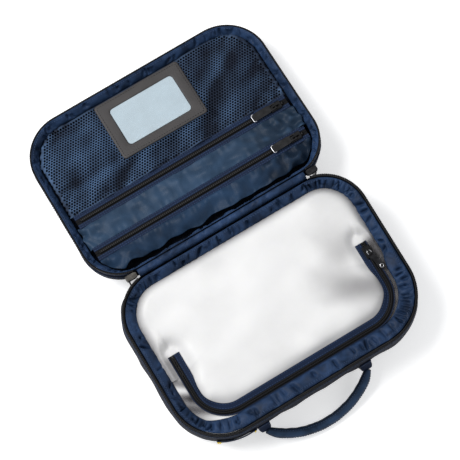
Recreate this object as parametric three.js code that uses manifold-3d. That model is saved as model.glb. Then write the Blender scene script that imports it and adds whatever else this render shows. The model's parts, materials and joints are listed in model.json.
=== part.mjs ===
// Travel pill organizer: a soft navy zip case lying open like a book.
// The deep base holds a clear zipped pouch, the shallow lid two zipped pockets and a window.
// Millimetres, +Z up. X runs along the hinge, +Y from the base towards the lid.
// The origin is the middle of the base's flat underside.
import * as THREE from "three";
import { mergeVertices } from "three/addons/utils/BufferGeometryUtils.js";
import Module from "manifold-3d";

// ---- plan shapes of the two halves, both drawn with the hinge side at +Y
const BASE = { halfLength: 135, halfWidth: 91, hingeRadius: 46, farRadius: 54 };
const LID = { halfLength: 133.5, halfWidth: 92, hingeRadius: 42, farRadius: 46 };
const CORNER_STEPS = 8;

// ---- heights
const RIM_Z = 52.2;
const LID_DEPTH = 24;
const WALL_TOP_Z = 42;
const WALL_THICKNESS = 3;
const WALL_BULGE = 2.5;
const BOTTOM_THICKNESS = 3;
const SEAM_INSET = 6;

// ---- hinge: the fold is half-way between the two rear walls, just above the base's rim
const HINGE_GAP = 3;
const HINGE_Y = BASE.halfWidth + HINGE_GAP;
const HINGE_Z = RIM_Z + 0.2;
const HINGE_HALF_LENGTH = 95;
const ZIP_START_X = 98;
const STRIP_THICKNESS = 1.2;

// ---- main zip, one half on each rim
const COIL_HEIGHT = 1.7;
const TAPE_THICKNESS = 0.8;
const MAIN_TAPE_INSET = 1.4;
const GAP = 0.3;

// ---- loose sloping linings inside both rims
const LINING_THICKNESS = 1.2;
const BASE_LINING = { top: [-3.4, RIM_Z - 2.4], bottom: [-12.6, 41.4] };
const LID_LINING = { top: [-3.6, -0.9], bottom: [-10.4, -7.4] };

// ---- clear pouch in the base, closed by a three-sided zip
const FILM = 0.8;
const POUCH_INSET = 13.4;
const POUCH_FLOOR_Z = 3.4;
const POUCH_WALL_TOP_Z = 42.6;
const POUCH_SEAM_Z = 42.9;
const POUCH_DOME = { rise: 6.5, halfLength: 94, back: 72, front: -64 };
const POUCH_ZIP = { halfLength: 108.5, front: -69, radius: 33, backEnd: 8 };
const POUCH_TAPE_WIDTH = 7;
const POUCH_TAPE_Z = 44.5;
const FOLD_Y = -14.5;

// ---- lid pockets, as distances from the fold
const POCKET_W = -7;
const POCKET_INSET = 11;
const LOWER_ZIP_V = 40;
const UPPER_ZIP_V = 78.5;
const LID_TAPE_WIDTH = 7;
const POCKET_ZIP_HALF_LENGTH = 117;
const LOWER_PANEL_START_V = 14;
const MESH_THICKNESS = 0.8;
const LID_BACK_LINING_W = -20.2;

// ---- identity window sewn onto the mesh
const WINDOW_FRAME = { x: 0.5, v: 143, length: 97, width: 65, radius: 4, thickness: 1.2, w: -5.6 };
const WINDOW_HOLE = { length: 73, width: 44, radius: 4 };

// ---- zip coils, sliders and pulls
const COIL_HALF_WIDTH = 1.8;
const COIL_THICKNESS = 1.4;
const SLIDER = { length: 12, width: 8.4, height: 2.6, grooveWidth: 4.4, grooveHeight: 1.75 };
const BRIDGE = { span: 6.8, leg: 1.2, height: 2.8, width: 1.8 };
const PULL_EYE = { width: 6.6, hole: 4.2, length: 7, bar: 1.2 };
const PULL_THICKNESS = 1.2;
const LID_PULL = { length: 26, width: 8, holeRadius: 0 };
const POUCH_PULL = { length: 22, width: 5, holeRadius: 1.5 };
const POUCH_PULL_YAW = 13;
const LID_SLIDER_X = 108;
const POUCH_SLIDER_Y = -3.2;
const PIVOT_ABOVE_TAPE = GAP + SLIDER.height + 1;

// ---- main zip sliders parked at both ends of the hinge
const MAIN_SLIDER = { x: 103, length: 12, halfWidth: 2.8, bottomZ: 45.4 };
const MAIN_PULL = { outerX: 107.2, y: HINGE_Y - 0.6, length: 24, width: 5.6, thickness: 1.3 };

// ---- carrying handle on the front wall
const HANDLE = { x: -7, halfSpan: 58, z: 20, reach: 27, radius: 5, tubeSteps: 20 };
const HANDLE_TAB = { width: 12, height: 20, thickness: 1.2 };
const HANDLE_PIVOT_Y = -(BASE.halfWidth + WALL_BULGE + 6.7);
const HANDLE_DROOP = Math.asin((HANDLE.z - HANDLE.radius) / HANDLE.reach);

// ---- small woven label round the front left corner
const LABEL = { startX: -73, endX: -111, lowZ: 17, highZ: 31, thickness: 1 };
const BARTACK = { length: 2.4, inset: 1.2, thickness: 0.6 };


const wasm = await Module();
wasm.setup();

function radians(degrees) {
  return (degrees * Math.PI) / 180;
}

// ---------------------------------------------------------------- solids

// Joins equal rings of points with quads. Rings either wrap round or get a fan at both ends.
function loft(rings, wrap = false) {
  const count = rings[0].length;
  const points = rings.flat();
  const faces = [];
  const bands = wrap ? rings.length : rings.length - 1;
  for (let band = 0; band < bands; band += 1) {
    const low = band * count;
    const high = ((band + 1) % rings.length) * count;
    for (let k = 0; k < count; k += 1) {
      const next = (k + 1) % count;
      faces.push(low + k, low + next, high + next);
      faces.push(low + k, high + next, high + k);
    }
  }
  if (!wrap) {
    addFan(points, faces, 0, count, true);
    addFan(points, faces, (rings.length - 1) * count, count, false);
  }
  return solidFrom(points, faces);
}

function addFan(points, faces, start, count, flipped) {
  const centre = new THREE.Vector3();
  for (let k = 0; k < count; k += 1) {
    centre.addScaledVector(points[start + k], 1 / count);
  }
  const middle = points.length;
  points.push(centre);
  for (let k = 0; k < count; k += 1) {
    const next = (k + 1) % count;
    if (flipped) {
      faces.push(start + next, start + k, middle);
    } else {
      faces.push(start + k, start + next, middle);
    }
  }
}

// Builds the geometry and turns it right side out.
function solidFrom(points, faces) {
  let volume = 0;
  for (let i = 0; i < faces.length; i += 3) {
    const [a, b, c] = [points[faces[i]], points[faces[i + 1]], points[faces[i + 2]]];
    volume += a.dot(new THREE.Vector3().crossVectors(b, c));
  }
  if (volume < 0) {
    faces.reverse();
  }
  const geometry = new THREE.BufferGeometry();
  const positions = points.flatMap((point) => [point.x, point.y, point.z]);
  geometry.setAttribute("position", new THREE.Float32BufferAttribute(positions, 3));
  geometry.setIndex(faces);
  return geometry;
}

function toManifold(geometry) {
  const plain = geometry.clone();
  plain.deleteAttribute("normal");
  plain.deleteAttribute("uv");
  const welded = mergeVertices(plain, 1e-4);
  const mesh = new wasm.Mesh({
    numProp: 3,
    vertProperties: new Float32Array(welded.attributes.position.array),
    triVerts: new Uint32Array(welded.index.array),
  });
  return new wasm.Manifold(mesh);
}

function unite(...geometries) {
  const solids = geometries.map(toManifold);
  const mesh = solids.reduce((sum, solid) => sum.add(solid)).getMesh();
  const geometry = new THREE.BufferGeometry();
  geometry.setAttribute("position", new THREE.Float32BufferAttribute(mesh.vertProperties, 3));
  geometry.setIndex(Array.from(mesh.triVerts));
  return geometry;
}

// A flat outline with holes, extruded upwards from z = 0.
function extrude(shape, height) {
  return new THREE.ExtrudeGeometry(shape, { depth: height, bevelEnabled: false, curveSegments: 4 });
}

function box(xMin, xMax, yMin, yMax, zMin, zMax) {
  const geometry = new THREE.BoxGeometry(xMax - xMin, yMax - yMin, zMax - zMin);
  geometry.translate((xMin + xMax) / 2, (yMin + yMax) / 2, (zMin + zMax) / 2);
  return geometry;
}

function roundedRectangle(length, width, radius, clockwise = false) {
  const [x, y] = [length / 2, width / 2];
  const outline = clockwise ? new THREE.Path() : new THREE.Shape();
  outline.moveTo(x - radius, -y);
  outline.absarc(x - radius, radius - y, radius, radians(-90), 0);
  outline.absarc(x - radius, y - radius, radius, 0, radians(90));
  outline.absarc(radius - x, y - radius, radius, radians(90), radians(180));
  outline.absarc(radius - x, radius - y, radius, radians(180), radians(270));
  outline.closePath();
  return outline;
}

// ---------------------------------------------------------------- outlines

// Points on one corner arc, each with its outward direction.
function cornerArc(centreX, centreY, radius, fromDegrees, toDegrees) {
  const points = [];
  for (let step = 0; step <= CORNER_STEPS; step += 1) {
    const angle = radians(fromDegrees + ((toDegrees - fromDegrees) * step) / CORNER_STEPS);
    const [nx, ny] = [Math.cos(angle), Math.sin(angle)];
    points.push({ x: centreX + nx * radius, y: centreY + ny * radius, nx, ny });
  }
  return points;
}

function cornersOf({ halfLength, halfWidth, hingeRadius, farRadius }) {
  const hinge = [halfLength - hingeRadius, halfWidth - hingeRadius, hingeRadius];
  const far = [halfLength - farRadius, farRadius - halfWidth, farRadius];
  return { hinge, far };
}

function closedOutline(half) {
  const { hinge, far } = cornersOf(half);
  return [
    ...cornerArc(hinge[0], hinge[1], hinge[2], 0, 90),
    ...cornerArc(-hinge[0], hinge[1], hinge[2], 90, 180),
    ...cornerArc(-far[0], far[1], far[2], 180, 270),
    ...cornerArc(far[0], far[1], far[2], 270, 360),
  ];
}

// The main zip's run: from one end of the hinge round three sides to the other end.
function zipOutline(half) {
  const { hinge, far } = cornersOf(half);
  const lean = (Math.asin((ZIP_START_X - hinge[0]) / hinge[2]) * 180) / Math.PI;
  return [
    ...cornerArc(-hinge[0], hinge[1], hinge[2], 90 + lean, 180),
    ...cornerArc(-far[0], far[1], far[2], 180, 270),
    ...cornerArc(far[0], far[1], far[2], 270, 360),
    ...cornerArc(hinge[0], hinge[1], hinge[2], 0, 90 - lean),
  ];
}

// The lid is drawn like the base and then turned over the fold, so v grows away from the hinge.
function asLid(path) {
  const toV = HINGE_GAP + LID.halfWidth;
  return path.map(({ x, y, nx, ny }) => ({ x, y: toV - y, nx, ny: -ny }));
}

// Sweeps a section of [outward, height] points along a path.
function sweep(path, section, closed) {
  const rings = path.map(({ x, y, nx, ny }) =>
    section.map(([out, height]) => new THREE.Vector3(x + nx * out, y + ny * out, height)),
  );
  return loft(rings, closed);
}

function rectangleSection(outMin, outMax, low, high) {
  return [
    [outMin, low],
    [outMax, low],
    [outMax, high],
    [outMin, high],
  ];
}

// A thin sloping strip between two [outward, height] points.
function slopingSection(top, bottom, thickness) {
  const [dx, dz] = [bottom[0] - top[0], bottom[1] - top[1]];
  const scale = thickness / Math.hypot(dx, dz);
  const side = [dz * scale, -dx * scale];
  return [top, bottom, [bottom[0] - side[0], bottom[1] - side[1]], [top[0] - side[0], top[1] - side[1]]];
}

function inset(path, distance) {
  return path.map(({ x, y, nx, ny }) => new THREE.Vector2(x - nx * distance, y - ny * distance));
}

// Keeps the part of a convex outline whose y lies between two limits.
function clip(outline, yMin, yMax) {
  const above = cut(outline, (point) => point.y - yMin);
  return cut(above, (point) => yMax - point.y);
}

function cut(outline, keep) {
  const result = [];
  outline.forEach((point, i) => {
    const next = outline[(i + 1) % outline.length];
    const [here, there] = [keep(point), keep(next)];
    if (here >= 0) {
      result.push(point);
    }
    if (here * there < 0) {
      result.push(point.clone().lerp(next, here / (here - there)));
    }
  });
  return result;
}

function slab(outline, low, high) {
  const ring = (height) => outline.map(({ x, y }) => new THREE.Vector3(x, y, height));
  return loft([ring(low), ring(high)]);
}

// ---------------------------------------------------------------- film surfaces

// Height of the puffed film over the seam, zero outside the dome.
function domeRise(x, y) {
  const { rise, halfLength, back, front } = POUCH_DOME;
  const middle = (back + front) / 2;
  const across = Math.min(1, Math.abs(x) / halfLength);
  const along = Math.min(1, Math.abs(y - middle) / ((back - front) / 2));
  return rise * (1 - across ** 4) * (1 - along ** 4);
}

function filmPoint(x, y, lift) {
  return new THREE.Vector3(x, y, POUCH_SEAM_Z + domeRise(x, y) + lift);
}

// A thin domed sheet filling a convex outline.
function domedSheet(outline) {
  const scales = [0.1, 0.4, 0.65, 0.85, 0.96, 1];
  const middle = outline.reduce((sum, point) => sum.add(point), new THREE.Vector2());
  middle.divideScalar(outline.length);
  const ring = (scale, lift) =>
    outline.map(({ x, y }) => {
      const [px, py] = [middle.x + (x - middle.x) * scale, middle.y + (y - middle.y) * scale];
      return filmPoint(px, py, lift);
    });
  const under = scales.map((scale) => ring(scale, 0));
  const over = scales.toReversed().map((scale) => ring(scale, FILM));
  return loft([...under, ...over]);
}

// Where a ray from a centre leaves an outline.
function rayExit(outline, centre, angle) {
  const direction = new THREE.Vector2(Math.cos(angle), Math.sin(angle));
  let reach = 0;
  outline.forEach((a, i) => {
    const b = outline[(i + 1) % outline.length];
    const edge = b.clone().sub(a);
    const across = direction.cross(edge);
    const offset = a.clone().sub(centre);
    const share = offset.cross(direction) / across;
    if (Math.abs(across) > 1e-9 && share >= -1e-9 && share <= 1 + 1e-9) {
      reach = Math.max(reach, offset.cross(edge) / across);
    }
  });
  return centre.clone().addScaledVector(direction, reach);
}

// A thin domed sheet with a hole, as radial strips between the two outlines.
function domedRing(outer, hole, centre) {
  const steps = 60;
  const corners = hole.map((point) => Math.atan2(point.y - centre.y, point.x - centre.x));
  const even = Array.from({ length: steps }, (_, i) => -Math.PI + (2 * Math.PI * i) / steps);
  const angles = even.map((angle) => {
    const nearest = corners.reduce((a, b) => (Math.abs(b - angle) < Math.abs(a - angle) ? b : a));
    return Math.abs(nearest - angle) < Math.PI / steps ? nearest : angle;
  });
  const shares = [0, 0.3, 0.6, 0.85, 1];
  const rings = [...new Set(angles)].map((angle) => {
    const [from, to] = [rayExit(hole, centre, angle), rayExit(outer, centre, angle)];
    const under = shares.map((share) => from.clone().lerp(to, share));
    const bottom = under.map(({ x, y }) => filmPoint(x, y, 0));
    const top = under.toReversed().map(({ x, y }) => filmPoint(x, y, FILM));
    return [...bottom, ...top];
  });
  return loft(rings, true);
}

// ---------------------------------------------------------------- pouch zip path

// Three-sided run, from the left end round the front to the right end, stopping at a given y.
function pouchZipPath(backEnd) {
  const { halfLength, front, radius } = POUCH_ZIP;
  const centreX = halfLength - radius;
  return [
    { x: -halfLength, y: backEnd, nx: -1, ny: 0 },
    ...cornerArc(-centreX, front + radius, radius, 180, 270),
    ...cornerArc(centreX, front + radius, radius, 270, 360),
    { x: halfLength, y: backEnd, nx: 1, ny: 0 },
  ];
}

// ---------------------------------------------------------------- hardware

// Slider running along X. Its local z = 0 is the top of the tape.
function sliderGeometry() {
  const half = SLIDER.width / 2;
  const groove = SLIDER.grooveWidth / 2;
  const profile = new THREE.Shape([
    new THREE.Vector2(-half, GAP),
    new THREE.Vector2(-groove, GAP),
    new THREE.Vector2(-groove, GAP + SLIDER.grooveHeight),
    new THREE.Vector2(groove, GAP + SLIDER.grooveHeight),
    new THREE.Vector2(groove, GAP),
    new THREE.Vector2(half, GAP),
    new THREE.Vector2(half, SLIDER.height - 0.6),
    new THREE.Vector2(half - 0.9, GAP + SLIDER.height),
    new THREE.Vector2(0.9 - half, GAP + SLIDER.height),
    new THREE.Vector2(-half, SLIDER.height - 0.6),
  ]);
  const body = extrude(profile, SLIDER.length);
  body.rotateX(Math.PI / 2);
  body.rotateZ(Math.PI / 2);
  body.translate(-SLIDER.length / 2, 0, 0);
  return unite(body, bridgeGeometry());
}

// The arch on top of a slider that the pull hangs from.
function bridgeGeometry() {
  const foot = GAP + SLIDER.height - 0.3;
  const top = GAP + SLIDER.height + BRIDGE.height;
  const [outer, inner] = [BRIDGE.span / 2, BRIDGE.span / 2 - BRIDGE.leg];
  const half = BRIDGE.width / 2;
  return unite(
    box(-outer, -inner, -half, half, foot, top),
    box(inner, outer, -half, half, foot, top),
    box(-outer, outer, -half, half, top - 0.8, top),
  );
}

// Pull tab lying towards -X from its pivot bar at the local origin.
function pullGeometry({ length, width, holeRadius }) {
  const half = PULL_THICKNESS / 2;
  const eyeEnd = PULL_EYE.bar / 2;
  const outline = new THREE.Shape();
  const [eyeHalf, tabHalf] = [PULL_EYE.width / 2, width / 2];
  const neck = eyeEnd - PULL_EYE.length;
  outline.moveTo(eyeEnd, -eyeHalf);
  outline.lineTo(eyeEnd, eyeHalf);
  outline.lineTo(neck, eyeHalf);
  outline.lineTo(neck - 1, tabHalf);
  outline.lineTo(1.5 - length, tabHalf);
  outline.lineTo(-length, tabHalf - 1.5);
  outline.lineTo(-length, 1.5 - tabHalf);
  outline.lineTo(1.5 - length, -tabHalf);
  outline.lineTo(neck - 1, -tabHalf);
  outline.lineTo(neck, -eyeHalf);
  outline.closePath();
  const eye = new THREE.Path();
  const holeHalf = PULL_EYE.hole / 2;
  const eyeFar = eyeEnd - PULL_EYE.length + PULL_EYE.bar;
  eye.moveTo(-eyeEnd, -holeHalf);
  eye.lineTo(eyeFar, -holeHalf);
  eye.lineTo(eyeFar, holeHalf);
  eye.lineTo(-eyeEnd, holeHalf);
  eye.closePath();
  outline.holes.push(eye);
  if (holeRadius > 0) {
    const hole = new THREE.Path();
    hole.absarc(2 * holeRadius - length, 0, holeRadius, 0, 2 * Math.PI, true);
    outline.holes.push(hole);
  }
  const geometry = extrude(outline, PULL_THICKNESS);
  geometry.translate(0, 0, -half);
  return geometry;
}

// How far a pull tips down so that its end rests just above the coil.
function pullDroop(length) {
  const coilTop = GAP + COIL_THICKNESS;
  return Math.asin((PIVOT_ABOVE_TAPE - coilTop - GAP - PULL_THICKNESS / 2) / length);
}

// ---------------------------------------------------------------- assembly helpers

const caseGroup = new THREE.Group();
caseGroup.name = "travel_pill_organizer";
const baseGroup = new THREE.Group();
baseGroup.name = "base_half";
const lidGroup = new THREE.Group();
lidGroup.name = "lid_half";
caseGroup.add(baseGroup, lidGroup);

const FINISH = {
  navyFabric: { color: 0x25395f, roughness: 0.8, metalness: 0 },
  navyLining: { color: 0x2c456f, roughness: 0.5, metalness: 0 },
  navyTape: { color: 0x1b2a49, roughness: 0.75, metalness: 0 },
  mesh: { color: 0x30486f, roughness: 0.8, metalness: 0 },
  coil: { color: 0x17181b, roughness: 0.45, metalness: 0 },
  blackMetal: { color: 0x222326, roughness: 0.35, metalness: 0.8 },
  greyMetal: { color: 0x8b8e93, roughness: 0.35, metalness: 0.9 },
  film: { color: 0xe6ebf0, roughness: 0.15, metalness: 0 },
  leatherette: { color: 0x4b4a4c, roughness: 0.6, metalness: 0 },
  windowFilm: { color: 0xc4d5de, roughness: 0.2, metalness: 0 },
  backing: { color: 0xd5dfe4, roughness: 0.6, metalness: 0 },
  yellowThread: { color: 0xd9b93c, roughness: 0.7, metalness: 0 },
};

function addPart(group, name, geometry, finish) {
  const mesh = new THREE.Mesh(geometry, new THREE.MeshStandardMaterial(FINISH[finish]));
  mesh.name = name;
  group.add(mesh);
  return mesh;
}

// ---------------------------------------------------------------- base shell

function addBaseBottom() {
  const outline = inset(closedOutline(BASE), SEAM_INSET + GAP);
  addPart(baseGroup, "base_bottom", slab(outline, 0, BOTTOM_THICKNESS), "navyFabric");
}

function addBaseWall() {
  const outside = [
    [0, WALL_TOP_Z],
    [WALL_BULGE * 0.6, 34],
    [WALL_BULGE, 24],
    [WALL_BULGE * 0.7, 12],
    [0, 5],
    [-2.4, 1.4],
    [-SEAM_INSET, 0],
  ];
  const inside = [
    [-SEAM_INSET, BOTTOM_THICKNESS],
    [-WALL_THICKNESS, 6.6],
    [WALL_BULGE * 0.7 - WALL_THICKNESS, 12.4],
    [WALL_BULGE - WALL_THICKNESS, 24],
    [WALL_BULGE * 0.6 - WALL_THICKNESS, 34],
    [-WALL_THICKNESS, WALL_TOP_Z],
  ];
  const wall = sweep(closedOutline(BASE), [...outside, ...inside], true);
  addPart(baseGroup, "base_wall", wall, "navyFabric");
}

function addBaseZip() {
  const path = zipOutline(BASE);
  const coilLow = RIM_Z - COIL_HEIGHT;
  const tape = rectangleSection(
    -MAIN_TAPE_INSET - TAPE_THICKNESS, -MAIN_TAPE_INSET, WALL_TOP_Z + GAP, coilLow - GAP,
  );
  addPart(baseGroup, "base_zip_tape", sweep(path, tape, false), "navyTape");
  const coil = rectangleSection(-3, 0, coilLow, RIM_Z);
  addPart(baseGroup, "base_zip_coil", sweep(path, coil, false), "coil");
}

function addBaseLining() {
  const section = slopingSection(BASE_LINING.top, BASE_LINING.bottom, LINING_THICKNESS);
  addPart(baseGroup, "base_lining", sweep(closedOutline(BASE), section, true), "navyLining");
}

// Fabric strip up the base's rear wall and over to the fold.
function addBaseHingeStrip() {
  const [near, far] = [BASE.halfWidth - 2.2, HINGE_Y + 1.8];
  const [low, high] = [WALL_TOP_Z + GAP, RIM_Z - 1.1];
  const section = new THREE.Shape([
    new THREE.Vector2(near, low),
    new THREE.Vector2(near + STRIP_THICKNESS, low),
    new THREE.Vector2(near + STRIP_THICKNESS, high - STRIP_THICKNESS),
    new THREE.Vector2(far, high - STRIP_THICKNESS),
    new THREE.Vector2(far, high),
    new THREE.Vector2(near, high),
  ]);
  const strip = extrude(section, 2 * HINGE_HALF_LENGTH);
  strip.rotateX(Math.PI / 2);
  strip.rotateZ(Math.PI / 2);
  strip.translate(-HINGE_HALF_LENGTH, 0, 0);
  addPart(baseGroup, "hinge_strip_base", strip, "navyTape");
}

// ---------------------------------------------------------------- label and handle

// The stretch of the front left corner between two x positions.
function cornerStretch(fromX, toX) {
  const { far } = cornersOf(BASE);
  const steps = 6;
  const points = [];
  for (let step = 0; step <= steps; step += 1) {
    const x = fromX + ((toX - fromX) * step) / steps;
    const beyond = Math.max(0, -far[0] - x);
    const angle = radians(270) - Math.asin(beyond / far[2]);
    const [nx, ny] = [Math.cos(angle), Math.sin(angle)];
    points.push({ x, y: far[1] + ny * far[2], nx, ny });
  }
  return points;
}

function addLabel() {
  const out = WALL_BULGE + GAP;
  const patch = rectangleSection(out, out + LABEL.thickness, LABEL.lowZ, LABEL.highZ);
  const label = sweep(cornerStretch(LABEL.startX, LABEL.endX), patch, false);
  addPart(baseGroup, "front_label", label, "navyTape");
  const stitchOut = out + LABEL.thickness + GAP;
  const stitch = rectangleSection(
    stitchOut, stitchOut + BARTACK.thickness, LABEL.lowZ + 1, LABEL.highZ - 1,
  );
  const ends = {
    label_bartack_right: LABEL.startX - BARTACK.inset,
    label_bartack_left: LABEL.endX + BARTACK.inset + BARTACK.length,
  };
  for (const [name, x] of Object.entries(ends)) {
    const run = cornerStretch(x, x - BARTACK.length);
    addPart(baseGroup, name, sweep(run, stitch, false), "yellowThread");
  }
}

function addHandleTabs() {
  const out = BASE.halfWidth + WALL_BULGE + GAP;
  for (const [name, side] of [["handle_tab_left", -1], ["handle_tab_right", 1]]) {
    const x = HANDLE.x + side * HANDLE.halfSpan;
    const half = HANDLE_TAB.width / 2;
    const [low, high] = [HANDLE.z - HANDLE_TAB.height / 2, HANDLE.z + HANDLE_TAB.height / 2];
    const tab = box(x - half, x + half, -out - HANDLE_TAB.thickness, -out, low, high);
    addPart(baseGroup, name, tab, "navyTape");
  }
}

// Padded fabric tube bowed outwards, drooping until its middle touches the table.
function addHandle() {
  const { halfSpan, reach, radius } = HANDLE;
  const arch = [
    [-1, 0],
    [-0.8, 0.42],
    [-0.5, 0.79],
    [-0.2, 0.97],
    [0, 1],
    [0.2, 0.97],
    [0.5, 0.79],
    [0.8, 0.42],
    [1, 0],
  ];
  const points = arch.map(([along, out]) => new THREE.Vector3(along * halfSpan, -out * reach, 0));
  const curve = new THREE.CatmullRomCurve3(points);
  const section = new THREE.Shape();
  section.absarc(0, 0, radius, 0, 2 * Math.PI);
  const sections = section.getPoints(3);
  const grip = new THREE.ExtrudeGeometry(new THREE.Shape(sections), {
    steps: HANDLE.tubeSteps,
    extrudePath: curve,
    curveSegments: 3,
  });
  const mesh = addPart(baseGroup, "handle_grip", grip, "navyFabric");
  mesh.rotation.x = HANDLE_DROOP;
  mesh.position.set(HANDLE.x, HANDLE_PIVOT_Y, HANDLE.z);
}

// ---------------------------------------------------------------- clear pouch

function addPouchBody() {
  const path = closedOutline(BASE);
  const ring = (distance, z) =>
    inset(path, distance).map(({ x, y }) => new THREE.Vector3(x, y, z));
  const body = loft([
    ring(POUCH_INSET + 3, POUCH_FLOOR_Z),
    ring(POUCH_INSET, POUCH_FLOOR_Z + 3),
    ring(POUCH_INSET, POUCH_WALL_TOP_Z),
    ring(POUCH_INSET + FILM, POUCH_WALL_TOP_Z),
    ring(POUCH_INSET + FILM, POUCH_FLOOR_Z + 3.4),
    ring(POUCH_INSET + 3.4, POUCH_FLOOR_Z + FILM),
  ]);
  addPart(baseGroup, "pouch_body", body, "film");
}

// The fixed top film: everything outside the zip and behind the flap's fold.
function addPouchTop() {
  const outer = inset(closedOutline(BASE), POUCH_INSET);
  const zipEdge = pouchZipPath(FOLD_Y + GAP).map(({ x, y, nx, ny }) => {
    const out = POUCH_TAPE_WIDTH - 2;
    return new THREE.Vector2(x + nx * out, y + ny * out);
  });
  for (const side of [1, -1]) {
    zipEdge.push(new THREE.Vector2(side * POUCH_DOME.halfLength, FOLD_Y + GAP));
  }
  const centre = new THREE.Vector2(0, (FOLD_Y + POUCH_ZIP.front) / 2);
  addPart(baseGroup, "pouch_top", domedRing(outer, zipEdge, centre), "film");
}

function addPouchFlapFilm() {
  const across = 12;
  const edge = pouchZipPath(FOLD_Y - GAP).map(({ x, y, nx, ny }) => {
    const out = 2 - POUCH_TAPE_WIDTH;
    return new THREE.Vector2(x + nx * out, y + ny * out);
  });
  const [first, last] = [edge[0], edge[edge.length - 1]];
  for (let step = 1; step < across; step += 1) {
    edge.push(last.clone().lerp(first, step / across));
  }
  addPart(baseGroup, "pouch_flap", domedSheet(edge), "film");
}

// Outer tape with the closed ends of the zip, and the inner tape that lifts with the flap.
function addPouchTapes() {
  const [low, high] = [POUCH_TAPE_Z, POUCH_TAPE_Z + TAPE_THICKNESS];
  const outerSection = rectangleSection(GAP / 2, POUCH_TAPE_WIDTH - 1, low, high);
  const outer = sweep(pouchZipPath(POUCH_ZIP.backEnd), outerSection, false);
  const ends = [-1, 1].map((side) => {
    const x = side * POUCH_ZIP.halfLength;
    const [xMin, xMax] = [x - POUCH_TAPE_WIDTH + 1, x + POUCH_TAPE_WIDTH - 1];
    return box(xMin, xMax, FOLD_Y + GAP, POUCH_ZIP.backEnd, low, high);
  });
  addPart(baseGroup, "pouch_tape_outer", unite(outer, ...ends), "navyTape");
  const innerSection = rectangleSection(-POUCH_TAPE_WIDTH, -GAP / 2, low, high);
  const inner = sweep(pouchZipPath(FOLD_Y - GAP), innerSection, false);
  addPart(baseGroup, "pouch_tape_inner", inner, "navyTape");
}

function addPouchCoils() {
  const low = POUCH_TAPE_Z + TAPE_THICKNESS + GAP;
  const high = low + COIL_THICKNESS;
  const path = pouchZipPath(FOLD_Y - GAP);
  const outer = rectangleSection(GAP / 2, COIL_HALF_WIDTH, low, high);
  addPart(baseGroup, "pouch_coil_outer", sweep(path, outer, false), "coil");
  const inner = rectangleSection(-COIL_HALF_WIDTH, -GAP / 2, low, high);
  addPart(baseGroup, "pouch_coil_inner", sweep(path, inner, false), "coil");
}

function addPouchSlider() {
  const tapeTop = POUCH_TAPE_Z + TAPE_THICKNESS;
  const slider = addPart(baseGroup, "pouch_slider", sliderGeometry(), "blackMetal");
  slider.rotation.z = radians(90);
  slider.position.set(POUCH_ZIP.halfLength, POUCH_SLIDER_Y, tapeTop);
  const tab = pullGeometry(POUCH_PULL);
  tab.rotateY(-pullDroop(POUCH_PULL.length));
  const pull = addPart(baseGroup, "pouch_pull", tab, "greyMetal");
  pull.rotation.z = radians(90 + POUCH_PULL_YAW);
  pull.position.set(POUCH_ZIP.halfLength, POUCH_SLIDER_Y, tapeTop + PIVOT_ABOVE_TAPE);
}

// ---------------------------------------------------------------- main sliders

// One slider parked in the notch between the halves, with its pull hanging below it.
function addMainSlider(name, pullName, side) {
  const { x, length, halfWidth, bottomZ } = MAIN_SLIDER;
  const inner = x - length / 2;
  const outer = x + length / 2;
  const plan = new THREE.Shape([
    new THREE.Vector2(side * inner, 1.2 - halfWidth),
    new THREE.Vector2(side * (inner + 2), -halfWidth),
    new THREE.Vector2(side * (outer - 1), -halfWidth),
    new THREE.Vector2(side * outer, 1 - halfWidth),
    new THREE.Vector2(side * outer, halfWidth - 1),
    new THREE.Vector2(side * (outer - 1), halfWidth),
    new THREE.Vector2(side * (inner + 2), halfWidth),
    new THREE.Vector2(side * inner, halfWidth - 1.2),
  ]);
  const body = extrude(plan, RIM_Z - bottomZ);
  body.translate(0, HINGE_Y, bottomZ);
  addPart(caseGroup, name, body, "greyMetal");
  const { outerX, thickness, width, length: hang, y } = MAIN_PULL;
  const pull = extrude(roundedRectangle(width, hang, 1.4), thickness);
  pull.rotateX(Math.PI / 2);
  pull.rotateZ(Math.PI / 2);
  const middleX = side * (outerX - thickness / 2);
  pull.translate(middleX - thickness / 2, y, bottomZ - GAP - hang / 2);
  addPart(caseGroup, pullName, pull, "greyMetal");
}

// ---------------------------------------------------------------- lid shell

function addLidShell() {
  const outline = asLid(closedOutline(LID));
  const tapeLow = -10;
  const wall = [
    [0, tapeLow - GAP],
    [0, -18.5],
    [-1.4, -22.2],
    [-5, -LID_DEPTH],
    [-5, 2.4 - LID_DEPTH],
    [-WALL_THICKNESS, -19.6],
    [-WALL_THICKNESS, tapeLow - GAP],
  ];
  addPart(lidGroup, "lid_wall", sweep(outline, wall, true), "navyFabric");
  const back = slab(inset(outline, 5 + GAP), -LID_DEPTH, 2.4 - LID_DEPTH);
  addPart(lidGroup, "lid_back", back, "navyFabric");
  const lining = slab(inset(outline, 5), LID_BACK_LINING_W - MESH_THICKNESS, LID_BACK_LINING_W);
  addPart(lidGroup, "lid_back_lining", lining, "navyLining");
  const band = slopingSection(LID_LINING.top, LID_LINING.bottom, LINING_THICKNESS);
  addPart(lidGroup, "lid_lining", sweep(outline, band, true), "navyLining");
}

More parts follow.
